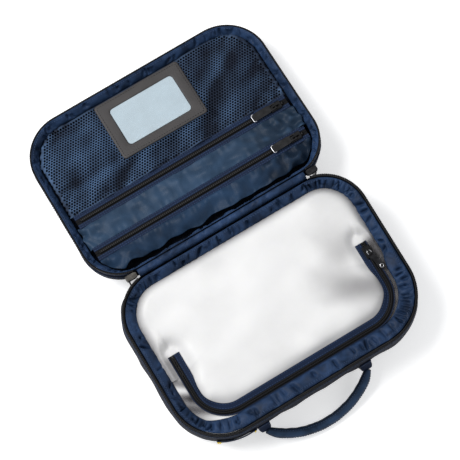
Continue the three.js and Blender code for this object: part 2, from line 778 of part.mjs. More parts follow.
function addLidZip() {
  const path = asLid(zipOutline(LID));
  const coilTop = -0.2;
  const coilLow = coilTop - COIL_HEIGHT;
  const tape = rectangleSection(
    -MAIN_TAPE_INSET - TAPE_THICKNESS, -MAIN_TAPE_INSET, -10, coilLow - GAP,
  );
  addPart(lidGroup, "lid_zip_tape", sweep(path, tape, false), "navyTape");
  const coil = rectangleSection(-2.4, 0, coilLow, coilTop);
  addPart(lidGroup, "lid_zip_coil", sweep(path, coil, false), "coil");
  const strip = box(
    -HINGE_HALF_LENGTH, HINGE_HALF_LENGTH,
    HINGE_GAP + 0.8, HINGE_GAP + 0.8 + STRIP_THICKNESS, -10, coilTop,
  );
  addPart(lidGroup, "hinge_strip_lid", strip, "navyTape");
}

// ---------------------------------------------------------------- lid pockets

function addPocketPanels() {
  const opening = inset(asLid(closedOutline(LID)), POCKET_INSET);
  const half = GAP / 2;
  const low = POCKET_W;
  const high = POCKET_W + TAPE_THICKNESS;
  const strips = [
    ["lower_panel", LOWER_PANEL_START_V, LOWER_ZIP_V - LID_TAPE_WIDTH, "navyLining"],
    ["lower_zip_tape_near", LOWER_ZIP_V - LID_TAPE_WIDTH, LOWER_ZIP_V, "navyTape"],
    ["lower_zip_tape_far", LOWER_ZIP_V, LOWER_ZIP_V + LID_TAPE_WIDTH, "navyTape"],
    ["pocket_band", LOWER_ZIP_V + LID_TAPE_WIDTH, UPPER_ZIP_V - LID_TAPE_WIDTH, "navyLining"],
    ["upper_zip_tape_near", UPPER_ZIP_V - LID_TAPE_WIDTH, UPPER_ZIP_V, "navyTape"],
    ["upper_zip_tape_far", UPPER_ZIP_V, UPPER_ZIP_V + LID_TAPE_WIDTH, "navyTape"],
    ["mesh_pocket", UPPER_ZIP_V + LID_TAPE_WIDTH, 2 * LID.halfWidth, "mesh"],
  ];
  for (const [name, from, to, finish] of strips) {
    const outline = clip(opening, from + half, to - half);
    addPart(lidGroup, name, slab(outline, low, high), finish);
  }
}

function addPocketZip(prefix, v) {
  const tapeTop = POCKET_W + TAPE_THICKNESS;
  const reach = POCKET_ZIP_HALF_LENGTH;
  const low = tapeTop + GAP;
  const coil = box(
    -reach, reach, v - COIL_HALF_WIDTH, v + COIL_HALF_WIDTH, low, low + COIL_THICKNESS,
  );
  addPart(lidGroup, `${prefix}_zip_coil`, coil, "coil");
  const slider = addPart(lidGroup, `${prefix}_zip_slider`, sliderGeometry(), "blackMetal");
  slider.position.set(LID_SLIDER_X, v, tapeTop);
  const tab = pullGeometry(LID_PULL);
  tab.rotateY(-pullDroop(LID_PULL.length));
  const pull = addPart(lidGroup, `${prefix}_zip_pull`, tab, "blackMetal");
  pull.position.set(LID_SLIDER_X, v, tapeTop + PIVOT_ABOVE_TAPE);
}

// ---------------------------------------------------------------- identity window

function addWindow() {
  const { x, v, length, width, radius, thickness, w } = WINDOW_FRAME;
  const hole = WINDOW_HOLE;
  const frame = roundedRectangle(length, width, radius);
  frame.holes.push(roundedRectangle(hole.length, hole.width, hole.radius, true));
  const border = extrude(frame, thickness);
  border.translate(x, v, w);
  addPart(lidGroup, "id_frame", border, "leatherette");
  const inside = [hole.length - 2 * GAP, hole.width - 2 * GAP, hole.radius];
  const backing = extrude(roundedRectangle(...inside), 0.4);
  backing.translate(x, v, w);
  addPart(lidGroup, "id_backing", backing, "backing");
  const film = extrude(roundedRectangle(...inside), 0.3);
  film.translate(x, v, w + 0.4 + 0.2);
  addPart(lidGroup, "id_window", film, "windowFilm");
}

// ---------------------------------------------------------------- lay the lid open on the table

// The lid drops from the fold until the rounded far edge of its back touches the table.
function lidTilt() {
  const edge = 5;
  const [reach, drop] = [HINGE_GAP + 2 * LID.halfWidth - edge, LID_DEPTH];
  return Math.asin(HINGE_Z / Math.hypot(reach, drop)) - Math.atan2(drop, reach);
}

addBaseBottom();
addBaseWall();
addBaseZip();
addBaseLining();
addBaseHingeStrip();
addLabel();
addHandleTabs();
addHandle();
addPouchBody();
addPouchTop();
addPouchFlapFilm();
addPouchTapes();
addPouchCoils();
addPouchSlider();
addMainSlider("main_slider_left", "main_pull_left", -1);
addMainSlider("main_slider_right", "main_pull_right", 1);
addLidShell();
addLidZip();
addPocketPanels();
addPocketZip("lower", LOWER_ZIP_V);
addPocketZip("upper", UPPER_ZIP_V);
addWindow();
lidGroup.rotation.x = -lidTilt();
lidGroup.position.set(0, HINGE_Y, HINGE_Z);

export default caseGroup;
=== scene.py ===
# Looks of the travel pill organizer: a soft navy zip case lying open like a book.
# Lengths are millimetres. Lid pieces are drawn flat as (x, v, w), where v is the distance from
# the fold and w the height over the lid's rim, and then laid in place with the lid's own tilt.
# A run is a line of (x, y, outward x, outward y). A section is a list of [outward, height].
import json
import math

import bpy
import numpy as np
from mathutils import Matrix, Vector
from mathutils.kdtree import KDTree


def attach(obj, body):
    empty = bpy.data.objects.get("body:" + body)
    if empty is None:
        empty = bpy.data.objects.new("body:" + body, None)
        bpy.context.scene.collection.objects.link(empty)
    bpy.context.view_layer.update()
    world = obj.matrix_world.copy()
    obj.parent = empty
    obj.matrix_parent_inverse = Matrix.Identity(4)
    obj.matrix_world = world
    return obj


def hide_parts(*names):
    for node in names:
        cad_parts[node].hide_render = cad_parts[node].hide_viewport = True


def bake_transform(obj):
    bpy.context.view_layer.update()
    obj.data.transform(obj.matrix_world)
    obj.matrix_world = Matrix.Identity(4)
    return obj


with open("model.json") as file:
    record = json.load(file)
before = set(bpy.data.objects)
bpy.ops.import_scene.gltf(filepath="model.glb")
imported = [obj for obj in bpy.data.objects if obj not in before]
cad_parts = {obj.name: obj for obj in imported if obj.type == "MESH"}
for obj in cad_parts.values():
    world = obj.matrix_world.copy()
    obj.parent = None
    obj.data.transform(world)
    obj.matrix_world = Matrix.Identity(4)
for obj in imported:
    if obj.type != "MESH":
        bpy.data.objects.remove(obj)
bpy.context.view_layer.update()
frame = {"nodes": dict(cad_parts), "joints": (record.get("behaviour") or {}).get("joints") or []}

MM = 0.001
UP = (0, 0, 1)
SHEET_THICKNESS = 0.35

# ---- the two halves: half length, half width, corner radius at the hinge and far from it
BASE = (135.0, 91.0, 46.0, 54.0)
LID = (133.5, 92.0, 42.0, 46.0)
RIM_Z = 52.2
LID_DEPTH = 24.0
HINGE_GAP = 3.0
HINGE_Y = 94.0
ZIP_START_X = 98.0
STRIP_HALF_LENGTH = 95.0

# ---- walls, as sections from the rim down outside and up again inside, and padded panels
BASE_WALL_OUTSIDE = [
    (-0.9, 42.0), (-0.2, 41.6), (0.15, 40.6), (0.5, 38.5), (1.0, 36.0), (1.6, 32.5), (2.2, 28.5),
    (2.5, 24.0), (2.4, 19.0), (2.0, 14.0), (1.2, 9.0), (0.2, 5.4), (-1.2, 2.6), (-3.2, 0.9),
    (-5.6, 0.15),
]
BASE_WALL_INSIDE = [
    (-6.0, 1.4), (-5.6, 3.0), (-3.4, 6.0), (-1.6, 12.0), (-0.6, 24.0), (-1.2, 34.0), (-2.8, 40.6),
    (-2.4, 42.0),
]
LID_WALL_OUTSIDE = [
    (-0.9, -10.2), (-0.1, -10.7), (0.0, -13.0), (0.1, -16.0), (-0.1, -18.6), (-0.8, -21.0),
    (-2.2, -22.9), (-4.6, -23.9),
]
LID_WALL_INSIDE = [
    (-5.0, -22.8), (-4.8, -21.6), (-3.2, -19.6), (-2.8, -15.0), (-2.6, -10.8), (-2.0, -10.2),
]
BASE_SLACK = {"top": 42, "depth": 42}
LID_SLACK = {"top": -10, "depth": 14}
SLAB_RINGS = [0.04, 0.35, 0.62, 0.82, 0.93]
SLAB_SOFT_EDGE = 1.2
BOTTOM_SLAB = {"inset": 6.2, "low": 0.0, "depth": 3.0}
BACK_SLAB = {"inset": 5.2, "low": -LID_DEPTH, "depth": 2.4}
BACK_LINING_W = -20.4
BACK_LINING_WAVES = ((0.5, 40, 72), (0.25, 12, 73))

# ---- steps between the points of a run
WALL_STEP = 2.6
SLAB_STEP = 3.0
TAPE_STEP = 2.5
COIL_STEP = 0.5
LINING_STEP = 0.9
FILM_STEP = 1.6

# ---- main zip: inner side, outer side, low and high
MAIN_COILS = {"base": (-2.8, 0.0, 50.4, RIM_Z), "lid": (-1.7, 0.0, -2.0, -0.2)}
MAIN_TAPES = {"base": (-2.3, -1.1, 42.2, 50.3), "lid": (-2.3, -1.1, -10.1, -2.0)}

# ---- lining bands, their sewn lines and free edges as sections at the hinge, sides and far side
BASE_LINING_SEAM = ((-3.3, 49.9), (-3.3, 49.9), (-3.3, 49.9))
BASE_LINING_EDGE = ((-13.4, 42.6), (-14.0, 43.8), (-17.8, 45.9))
BASE_LINING_CORNER = (-18.6, 46.0)
LID_LINING_SEAM = ((-2.0, -0.9), (-2.0, -0.7), (-2.0, -0.7))
LID_LINING_EDGE = ((-6.5, -12.5), (-8.6, -9.6), (-8.6, -9.6))

# ---- hinge strip, its two sides as (y, z) in the base and (v, w) in the lid
STRIP_BASE_SIDE = [(90.2, 42.6), (90.3, 46.0), (90.6, 49.0), (91.2, 50.9), (91.9, 51.8), (92.7, 52.3)]
STRIP_LID_SIDE = [(0.9, -0.2), (1.9, -0.2), (2.9, -0.9), (3.6, -2.6), (4.0, -6.0), (4.4, -9.8)]
STRIP_FOLD_Z = 52.1
STRIP_LID_Z = 52.4

# ---- zip tape and stitches
TAPE_THICKNESS = 0.5
TAPE_FOLD = 0.4
TAPE_KNEE = 0.38
COIL_PITCH = 2.0
STITCH = {"pitch": 2.7, "length": 1.8, "radius": 0.28}
# A stitch's rings: where along its length each one is and how thick.
STITCH_RINGS = np.array([-0.5, -0.32, 0, 0.32, 0.5])
STITCH_SWELL = np.array([0.25, 0.85, 1.0, 0.85, 0.25])
STITCH_SIDES = 5
BASE_SEAMS = ((0.35, 39.9), (1.05, 7.6), (-9.0, 0.02))
LID_SEAMS = ((0.05, -12.2), (-8.0, -24.0))

# ---- clear pouch
POUCH_INSET = 13.4
POUCH_SEAM_Z = 43.0
POUCH_ZIP = {"half_length": 108.5, "front": -69.0, "radius": 33.0, "back_end": 8.0}
POUCH_TAPE = 8.2
POUCH_TAPE_SPLIT = 2.1
POUCH_KNEE = POUCH_TAPE_SPLIT + TAPE_KNEE * (POUCH_TAPE - POUCH_TAPE_SPLIT)
POUCH_OUTER_TAPE = (0.15, 3.2, 4.2)
POUCH_STITCHES = (-3.2, -7.2)
TAPE_Z = 44.5
POUCH_COIL = (TAPE_Z + 0.75, TAPE_Z + 2.25)
TAPE_RISE = {"side": math.radians(62), "corner": math.radians(30), "front": math.radians(15)}
FOLD_Y = -14.5
FILM_MIDDLE = np.array([0.0, 20.0])
FILM_CREST = 9.0
FILM_NEAR_ZIP = 5.4
FILM_UNDER_TAPE = 0.7
FILM_SLOPES = {"seam": 1.2, "tape": 0.9}
FILM_LUMPS = ((0.9, 75, 5), (0.25, 34, 6))
FILM_RINGS = 60
# A patch on the right of the top film that gets painted shade.
SHADED_FILM_PATCH = {"x": 84.0, "y": -22.0, "half_length": 34, "half_width": 38}
# Its wall as a section from the seam down, and how freely each of those points is dented.
POUCH_WALL = [
    (0.0, 43.2), (0.3, 42.2), (0.7, 38), (0.9, 30), (0.8, 20), (0.4, 12), (-0.6, 7.4), (-2.6, 4.4),
]
POUCH_WALL_SLACK = [0, 0.3, 1, 1, 1, 0.8, 0.3, 0]
POUCH_FLOOR_Z = 3.75
POUCH_FLOOR_RINGS = np.linspace(0.96, 0.03, 22)

# ---- handle and label
HANDLE = {"x": -7.0, "half_span": 58.0, "z": 20.0, "reach": 27.0, "radius": 5.0, "pivot_y": -100.2}
HANDLE_ARCH = [
    (-1, 0), (-0.8, 0.42), (-0.5, 0.79), (-0.2, 0.97), (0, 1), (0.2, 0.97), (0.5, 0.79), (0.8, 0.42),
    (1, 0),
]
HANDLE_RINGS = 150
HANDLE_SIDES = 20
HANDLE_FLATNESS = 0.94
HANDLE_THIN_ENDS = 0.32
TAB = {"y": -93.7, "half_width": 6.2, "half_height": 10.0, "knuckle": 5.6, "stitch_pitch": 2.2}
TAB_SEAM = {"out": 1.15, "low": 6.2, "high": 9.2, "half_length": 5.2, "half_diagonal": 5.0}
LABEL = {"start_x": -73.0, "end_x": -111.0, "low": 17.0, "high": 31.0, "out": 3.3, "swell": 0.35}
YELLOW_STITCH = {"pitch": 2.0, "radius": 0.65}

# ---- lid pockets
POCKET_W = -7.0
POCKET_TAPE = (0.15, 2.9, 7.4)
POCKET_COIL = (POCKET_W + 0.75, POCKET_W + 2.3)
POCKET_COIL_REACH = 117.0
POCKET_ZIP_INSET = 11.5
PANEL_INSET = 9.6
POCKET_STITCHES = (-6.3, -3.9, 3.9, 6.3)
LOWER_ZIP_V = 40.0
UPPER_ZIP_V = 78.5
PANEL_FROM_ZIP = 6.8
LOWER_PANEL_V = (14.0, LOWER_ZIP_V - PANEL_FROM_ZIP)
BAND_V = (LOWER_ZIP_V + PANEL_FROM_ZIP, UPPER_ZIP_V - PANEL_FROM_ZIP)
FRAME_MIDDLE = (0.5, 143.0)
FRAME_SIZE = (97.0, 65.0)
FRAME_RADIUS = 3.2
WINDOW_SIZE = (73.0, 44.0)
WINDOW_RADIUS = 4.0
FRAME_SEAM = {"length": FRAME_SIZE[0] - 5, "width": FRAME_SIZE[1] - 5, "radius": 2.2}
FRAME_W = (-5.6, -4.4)
# The frame's face from its outer to its inner edge: share of the way, height over its top.
FRAME_PROFILE = [(0, -0.5), (0.04, -0.12), (0.12, 0), (0.5, 0.1), (0.88, 0), (0.96, -0.15), (1, -0.5)]
MESH_PITCH = 3.0
MESH_HOLE = 0.74
MESH_THICKNESS = 0.45
MESH_INSET = 10.4
MESH_START_X = -126
MESH_LENGTH = 250
MESH_SOLID_EDGE = 2.2
MESH_OVERHANG = 1.4
MESH_SLACK = ((1.2, 60, 81), (0.5, 22, 82))
MESH_FROM_V = UPPER_ZIP_V + 6.9
MESH_TO_V = HINGE_GAP + 2 * LID[1] - MESH_INSET
# Slack folds of the mesh: from (x, v) to (x, v), half width, height.
MESH_FOLDS = [
    ((116, 169), (45, 118), 7.0, 3.6),
    ((112, 120), (48, 112), 9.0, -2.8),
    ((100, 172), (52, 172), 8.0, 2.6),
    ((-50, 110), (-112, 90), 8.0, 3.2),
    ((-50, 116), (-118, 112), 6.0, -2.6),
    ((-50, 128), (-116, 138), 9.0, 3.0),
    ((-52, 165), (-112, 168), 7.0, -2.2),
    ((-40, 108), (-70, 86), 6.0, -2.0),
    ((20, 109), (24, 88), 9.0, 1.6),
]

# ---- bright wires: of the pouch pull's two, where along it, half sizes and the turn in degrees
LIP = {"inset": 2.6, "reach": 2.8, "depth": 0.4, "radius": 0.55}
PULL_WIRE_RADIUS = 0.4
PULL_WIRES = [
    ("pouch_pull_root_loop", 1.4, 2.6, 1.9, (60, 300), False),
    ("pouch_pull_hole_rim", 19.0, 1.75, 1.75, (0, 345), True),
]

# ---- bands between two bodies, in metres, handed to finish_bent
STRIP_BEND = {"start": (0, 0.0925, 0.052), "end": (0, 0.0955, 0.052)}
FILM_BEND = {"start": (0, -0.007, 0.045), "end": (0, -0.022, 0.045)}
ZIP_BEND = {"start": (0, -0.0095, 0.045), "end": (0, -0.022, 0.045)}
HANDLE_BEND = {"start": (0, -0.096, 0.02), "end": (0, -0.103, 0.0185)}

# ---- camera and lights, in metres and degrees, and the floor they stand over, in millimetres
VIEW_AZIMUTH = -30.98
VIEW_ELEVATION = 80.0
VIEW_DISTANCE = 1.8
VIEW_TARGET = (0.0054, 0.0874, 0.030)
LENS = 142.3
LIGHTS = [
    ("key", (-0.9, 1.0, 1.7), (1.0, 1.0), 40),
    ("fill", (1.3, -0.7, 1.3), (1.4, 1.4), 7),
]
WORLD_STRENGTH = 0.4
FLOOR_HALF = 3000
FLOOR_Z = -0.5
FLOOR_GLOW = 0.45


def joint(name):
    return next(j for j in frame["joints"] if j["name"] == name)


LID_TILT = math.radians(joint("lid_hinge")["range_deg"][1] - 180)
LID_PLACE = Matrix.Translation(joint("lid_hinge")["pos_m"]) @ Matrix.Rotation(-LID_TILT, 4, "X")


# ---------------- random waves

def waves_along(distance, total, wavelength, seed, count=7):
    """A smooth random wave along a closed run, about -1 to 1."""
    rng = np.random.default_rng(seed)
    wave = np.zeros_like(distance)
    for _ in range(count):
        turns = round(total / (wavelength * rng.uniform(0.7, 1.5)))
        wave += np.sin(2 * math.pi * turns * distance / total + rng.uniform(0, 2 * math.pi))
    return wave / math.sqrt(count)


def field(x, y, wavelength, seed, count=9, stretch=1.0):
    """A smooth random height over a plane, about -1 to 1. Stretch lengthens its ridges along y."""
    rng = np.random.default_rng(seed)
    height = np.zeros(np.broadcast(x, y).shape)
    for _ in range(count):
        angle = rng.uniform(0, 2 * math.pi)
        k = 2 * math.pi / (wavelength * rng.uniform(0.7, 1.4))
        phase = rng.uniform(0, 2 * math.pi)
        height = height + np.sin(k * (x * math.cos(angle) + y * math.sin(angle) / stretch) + phase)
    return height / math.sqrt(count)


def waves_over(x, y, layers):
    """Several fields over one plane, each given by its height, wavelength and seed."""
    return sum(height * field(x, y, wavelength, seed) for height, wavelength, seed in layers)


def smooth_step(value, low, high):
    share = np.clip((value - low) / (high - low), 0, 1)
    return share * share * (3 - 2 * share)


def bell(value, width):
    return np.exp(-((value / width) ** 2))


def unit(vectors):
    return vectors / np.linalg.norm(vectors, axis=-1, keepdims=True)


def raised(plan, height):
    """Points over a plan of (x, y), at one height or at one for each."""
    height = np.broadcast_to(height, plan.shape[:-1])
    return np.concatenate([plan, height[..., None]], -1)


def grid_of(rows, columns):
    """Two grids from the (first, last, count) of their rows and of their columns."""
    return np.meshgrid(np.linspace(*rows), np.linspace(*columns), indexing="ij")


def creases_across(distance, total, share, spacing, seed):
    """Sharp valleys across a closed band: 0 where flat, 1 at the bottom of the deepest."""
    rng = np.random.default_rng(seed)
    depth = np.zeros((len(distance), len(share)))
    for _ in range(round(total / spacing)):
        middle, slant = rng.uniform(0, total), rng.normal(0, 4)
        width, strength = rng.uniform(0.9, 2.2), rng.uniform(0.35, 1.0)
        start, end = rng.uniform(-0.2, 0.45), rng.uniform(0.7, 1.3)
        along = distance[:, None] - middle - slant * (share - 0.5)
        along = (along + total / 2) % total - total / 2
        reach = smooth_step(share, start, start + 0.25) * (1 - smooth_step(share, end - 0.2, end))
        depth = np.maximum(depth, strength * np.exp(-np.abs(along / width) ** 1.5) * reach)
    return depth


# ---------------- meshes

def add_mesh(name, points, faces, *materials, smooth=True):
    """An object from points in millimetres."""
    mesh = bpy.data.meshes.new(name)
    mesh.from_pydata((np.asarray(points, float).reshape(-1, 3) * MM).tolist(), [], faces)
    mesh.update()
    for material in materials:
        mesh.materials.append(MATERIALS[material])
    if smooth:
        mesh.shade_smooth()
    obj = bpy.data.objects.new(name, mesh)
    bpy.context.scene.collection.objects.link(obj)
    return obj


def grid_faces(rows, columns, wrap_rows=False, wrap_columns=False):
    faces = []
    for i in range(rows if wrap_rows else rows - 1):
        low, high = i * columns, (i + 1) % rows * columns
        for j in range(columns if wrap_columns else columns - 1):
            k = (j + 1) % columns
            faces.append((low + j, low + k, high + k, high + j))
    return faces


def loft(name, rings, *materials, wrap=False, smooth=True):
    """A closed solid from equal rings, either wrapping round or capped at both ends."""
    count, size = rings.shape[:2]
    faces = grid_faces(count, size, wrap, True)
    if not wrap:
        faces.append(tuple(reversed(range(size))))
        faces.append(tuple(range((count - 1) * size, count * size)))
    obj = add_mesh(name, rings, faces, *materials, smooth=smooth)
    turn_outwards(obj)
    return obj


def sheet_from(name, grid, material, thickness=SHEET_THICKNESS, wrap=False, closed_at=None):
    """A thin cloth or film from one grid of points, given its thickness on both sides.

    A wrapped grid can be closed over by one face at its first or its last column.
    """
    rows, columns = grid.shape[:2]
    faces = grid_faces(rows, columns, wrap, False)
    if closed_at == "first":
        faces.append(tuple(row * columns for row in range(rows)))
    if closed_at == "last":
        faces.append(tuple(row * columns + columns - 1 for row in reversed(range(rows))))
    obj = add_mesh(name, grid, faces, material)
    thicken(obj, thickness)
    return obj


def thicken(obj, thickness):
    solid = obj.modifiers.new("thickness", "SOLIDIFY")
    solid.thickness = thickness * MM
    solid.offset = 0
    solid.use_even_offset = False


def turn_outwards(obj):
    """Flips the faces if they look inwards."""
    mesh = obj.data
    if sum(face.center.dot(face.normal) * face.area for face in mesh.polygons) < 0:
        mesh.flip_normals()


def set_layer(obj, name, values):
    """Gives each point a value that a material can read."""
    layer = obj.data.attributes.new(name, "FLOAT", "POINT")
    layer.data.foreach_set("value", np.asarray(values, np.float32).ravel())


def name_piece(obj, nodes):
    """Hides the CAD nodes that a piece stands for."""
    if nodes:
        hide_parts(*nodes)
    return obj


def finish(obj, body, slot=None, *nodes):
    """Puts a piece on its body, after laying it in place if it is drawn flat for the lid."""
    if body == "lid":
        obj.data.transform(LID_PLACE)
    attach(obj, body)
    return name_piece(obj, nodes)


def finish_bent(obj, body, moving, band, slot=None, *nodes):
    """Bakes a piece's transform into its points and hides the CAD nodes that it stands for."""
    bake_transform(obj)
    return name_piece(obj, nodes)


# ---------------- outlines

def distances(points):
    """How far along a line each of its points is."""
    return np.concatenate([[0], np.cumsum(np.linalg.norm(np.diff(points, axis=0), axis=1))])


def lengths_along(run):
    return distances(run[:, :2])


def line_at(wanted, reached, points):
    """The points at wanted distances along a line."""
    return np.stack([np.interp(wanted, reached, column) for column in points.T], 1)


def closed_run(run):
    return np.vstack([run, run[:1]])


def corner(middle_x, middle_y, radius, start, end):
    angles = np.radians(np.linspace(start, end, 40))
    across, along = np.cos(angles), np.sin(angles)
    return np.stack([middle_x + across * radius, middle_y + along * radius, across, along], 1)


def resampled(points, step, closed):
    """Evenly spaced points along a run."""
    if closed:
        points = closed_run(points)
    reached = lengths_along(points)
    count = max(3, round(reached[-1] / step) + 1)
    run = line_at(np.linspace(0, reached[-1], count), reached, points)
    run[:, 2:4] = unit(run[:, 2:4])
    return run[:-1] if closed else run


def half_corners(half, lean=0.0):
    """The corners of a half, from right to left over the hinge side and back over the far side."""
    length, width, hinge, far = half
    return [
        corner(length - hinge, width - hinge, hinge, 0, 90 - lean),
        corner(hinge - length, width - hinge, hinge, 90 + lean, 180),
        corner(far - length, far - width, far, 180, 270),
        corner(length - far, far - width, far, 270, 360),
    ]


def rim_run(half, step):
    """All round a half, from the right side over the hinge side."""
    return resampled(np.vstack(half_corners(half)), step, True)


def zip_run(half, step):
    """The main zip's run, from the hinge's left end round three sides to its right end."""
    length, _, hinge, _ = half
    lean = math.degrees(math.asin((ZIP_START_X - length + hinge) / hinge))
    corners = half_corners(half, lean)
    return resampled(np.vstack(corners[1:] + corners[:1]), step, False)


def pouch_run(back_end, step):
    """The pouch zip's run, from its left end round the front to its right end."""
    reach, front, radius = POUCH_ZIP["half_length"], POUCH_ZIP["front"], POUCH_ZIP["radius"]
    points = np.vstack([
        [-reach, back_end, -1, 0],
        corner(radius - reach, front + radius, radius, 180, 270),
        corner(reach - radius, front + radius, radius, 270, 360),
        [reach, back_end, 1, 0],
    ])
    return resampled(points, step, False)


def straight_run(half_length, v, step):
    """A run along the hinge's direction at one distance from the fold."""
    points = np.array([[-half_length, v, 0, 1], [half_length, v, 0, 1]], float)
    return resampled(points, step, False)


def as_lid(run):
    """A run drawn like the base's, turned over the fold so that its second number is v."""
    turned_run = run.copy()
    turned_run[:, 1] = HINGE_GAP + LID[1] - run[:, 1]
    turned_run[:, 3] = -run[:, 3]
    return turned_run


def swept(run, sections):
    """Points of sections along a run."""
    sections = np.asarray(sections, float)
    sections = np.broadcast_to(sections, (len(run), *sections.shape[-2:]))
    out, height = sections[..., 0], sections[..., 1]
    x = run[:, 0:1] + run[:, 2:3] * out
    y = run[:, 1:2] + run[:, 3:4] * out
    return np.stack([x, y, height], -1)


def row_at(run, out, height):
    """One row of points beside a run."""
    return swept(run, [[out, height]])[:, 0]


def lid_extent(v, inset):
    """How far the lid reaches in x at a distance v from the fold, less an inset."""
    length, width, hinge, far = LID
    y = HINGE_GAP + width - np.asarray(v, float)
    reach = np.full(np.shape(y), length - inset)
    for radius, beyond in ((hinge, y - (width - hinge)), (far, -y - (width - far))):
        inner = radius - inset
        bent = length - radius + np.sqrt(np.maximum(0, inner**2 - np.clip(beyond, 0, inner) ** 2))
        reach = np.where(beyond > 0, np.minimum(reach, bent), reach)
    return reach


# ---------------- materials

class Shader:
    """A material being built: its shader node and the textures that feed it."""

    def __init__(self, name, colour, roughness, **constants):
        self.material = bpy.data.materials.new(name)
        self.material.use_nodes = True
        self.tree = self.material.node_tree
        self.tree.nodes.clear()
        self.principled = self.add("BsdfPrincipled", Roughness=roughness, **constants)
        self.feed("Base Color", (*colour, 1))
        self.add("OutputMaterial", Surface=self.principled.outputs["BSDF"])
        self.place = self.add("TexCoord").outputs["Object"]

    def fill(self, socket, value):
        """Links another node's result to a socket, or sets the socket to a constant."""
        if isinstance(value, bpy.types.NodeSocket):
            self.tree.links.new(value, socket)
        else:
            socket.default_value = value

    def feed(self, socket, value):
        """Fills a socket of the shader node."""
        self.fill(self.principled.inputs[socket], value)

    def add(self, kind, **inputs):
        """A new node with some of its sockets filled."""
        node = self.tree.nodes.new("ShaderNode" + kind)
        for socket, value in inputs.items():
            self.fill(node.inputs[socket.replace("_", " ")], value)
        return node

    def noise(self, scale, detail=3.0, distortion=0.0):
        inputs = {"Scale": scale, "Detail": detail, "Distortion": distortion}
        return self.add("TexNoise", Vector=self.place, **inputs).outputs["Fac"]

    def bands(self, period, direction):
        """Bands of one period in millimetres along X, Y, Z or the diagonal."""
        node = self.add("TexWave", Vector=self.place, Scale=math.pi / 10 / (period * MM))
        node.bands_direction = direction
        return node.outputs["Fac"]

    def mixed(self, operation, a, b):
        node = self.add("Math")
        node.operation = operation
        self.fill(node.inputs[0], a)
        self.fill(node.inputs[1], b)
        return node.outputs[0]

    def blended(self, a, a_share, b, b_share):
        scaled = self.mixed("MULTIPLY", a, a_share), self.mixed("MULTIPLY", b, b_share)
        return self.mixed("ADD", *scaled)

    def spread(self, value, low, high):
        """Maps 0..1 to low..high."""
        return self.add("MapRange", Value=value, To_Min=low, To_Max=high).outputs["Result"]

    def layer(self, name):
        """A value that set_layer has given to the points of a piece."""
        node = self.add("Attribute")
        node.attribute_name = name
        return node.outputs["Fac"]

    def ramp(self, value, *stops):
        node = self.add("ValToRGB", Fac=value)
        elements = node.color_ramp.elements
        while len(elements) < len(stops):
            elements.new(0.5)
        for element, (place, colour) in zip(elements, stops):
            element.position = place
            element.color = (*colour, 1)
        return node.outputs["Color"]

    def shades(self, value, colour, contrast):
        return self.ramp(value, (0.3, shade(colour, 1 - contrast)), (0.7, shade(colour, 1 + contrast)))

    def finished(self, colours, roughness, height, strength, depth):
        """The material, with its colour, its roughness and its bumps (depth in millimetres)."""
        bump = self.add("Bump", Strength=strength, Distance=depth * MM, Height=height)
        self.feed("Base Color", colours)
        self.feed("Roughness", roughness)
        self.feed("Normal", bump.outputs["Normal"])
        return self.material


def shade(colour, factor):
    return tuple(min(1.0, c * factor) for c in colour)


def woven(name, colour, period, roughness, depth=0.12, contrast=0.25, sheen=0.0):
    """Woven cloth: crossed threads, uneven dye and a little lint."""
    cloth = Shader(
        name, colour, roughness, Sheen_Weight=sheen, Sheen_Roughness=0.4, Specular_IOR_Level=0.2,
    )
    crossed = cloth.bands(period, "DIAGONAL"), cloth.bands(period * 0.8, "X")
    threads = cloth.mixed("MULTIPLY", *crossed)
    patches, lint = cloth.noise(35), cloth.noise(900, 2)
    colours = cloth.shades(cloth.blended(patches, 0.6, lint, 0.4), colour, contrast)
    rough = cloth.spread(patches, roughness - 0.1, min(1, roughness + 0.1))
    return cloth.finished(colours, rough, cloth.mixed("ADD", threads, lint), 0.6, depth)


def satin(name, colour, roughness, patch, contrast):
    """Thin lining: painted shade in creases and where its shadow layer is high; patches of tone and
    painted sheen.
    """
    cloth = Shader(name, colour, roughness, Specular_IOR_Level=0.12)
    creases, mottle_and_shade = cloth.noise(patch, 4, 1.5), cloth.noise(patch * 0.35, 3, 0.8)
    # Painted shade: the crease noise and the shadow layer darken the colour; the ramp's light end is
    # painted sheen.
    dye = cloth.mixed("SUBTRACT", cloth.blended(creases, 0.4, mottle_and_shade, 0.6), cloth.layer("shadow"))
    colours = cloth.ramp(
        dye, (0.36, shade(colour, 1 - 0.6 * contrast)), (0.48, shade(colour, 1 - 0.1 * contrast)),
        (0.64, shade(colour, 1 + 0.65 * contrast)),
    )
    rough = cloth.spread(creases, roughness - 0.06, roughness + 0.14)
    threads = cloth.mixed("MULTIPLY", cloth.bands(0.5, "DIAGONAL"), 0.08)
    return cloth.finished(colours, rough, cloth.mixed("ADD", creases, threads), 0.5, 1.1)


def plastic(name, colour, roughness, scale, contrast=0.2, **constants):
    """Moulded or coated surface with fine unevenness."""
    skin = Shader(name, colour, roughness, **constants)
    grain = skin.noise(scale, 4)
    rough = skin.spread(grain, roughness * 0.8, roughness * 1.2)
    return skin.finished(skin.shades(grain, colour, contrast), rough, grain, 0.4, 0.05)


def metal(name, colour, roughness, metallic):
    """Plated or painted zinc with rubbed patches."""
    skin = Shader(name, colour, roughness, Metallic=metallic)
    rub = skin.noise(260, 5)
    colours = skin.ramp(rub, (0.35, shade(colour, 0.75)), (0.75, shade(colour, 1.5)))
    rough = skin.spread(rub, roughness - 0.08, roughness + 0.15)
    return skin.finished(colours, rough, rub, 0.25, 0.05)


def leatherette(name, colour):
    """Coated fabric with a pebbled grain."""
    skin = Shader(name, colour, 0.62)
    grain = skin.add("TexVoronoi", Vector=skin.place, Scale=900).outputs["Distance"]
    patches = skin.noise(60)
    colours = skin.shades(patches, colour, 0.2)
    return skin.finished(colours, skin.spread(patches, 0.5, 0.72), grain, 0.5, 0.3)


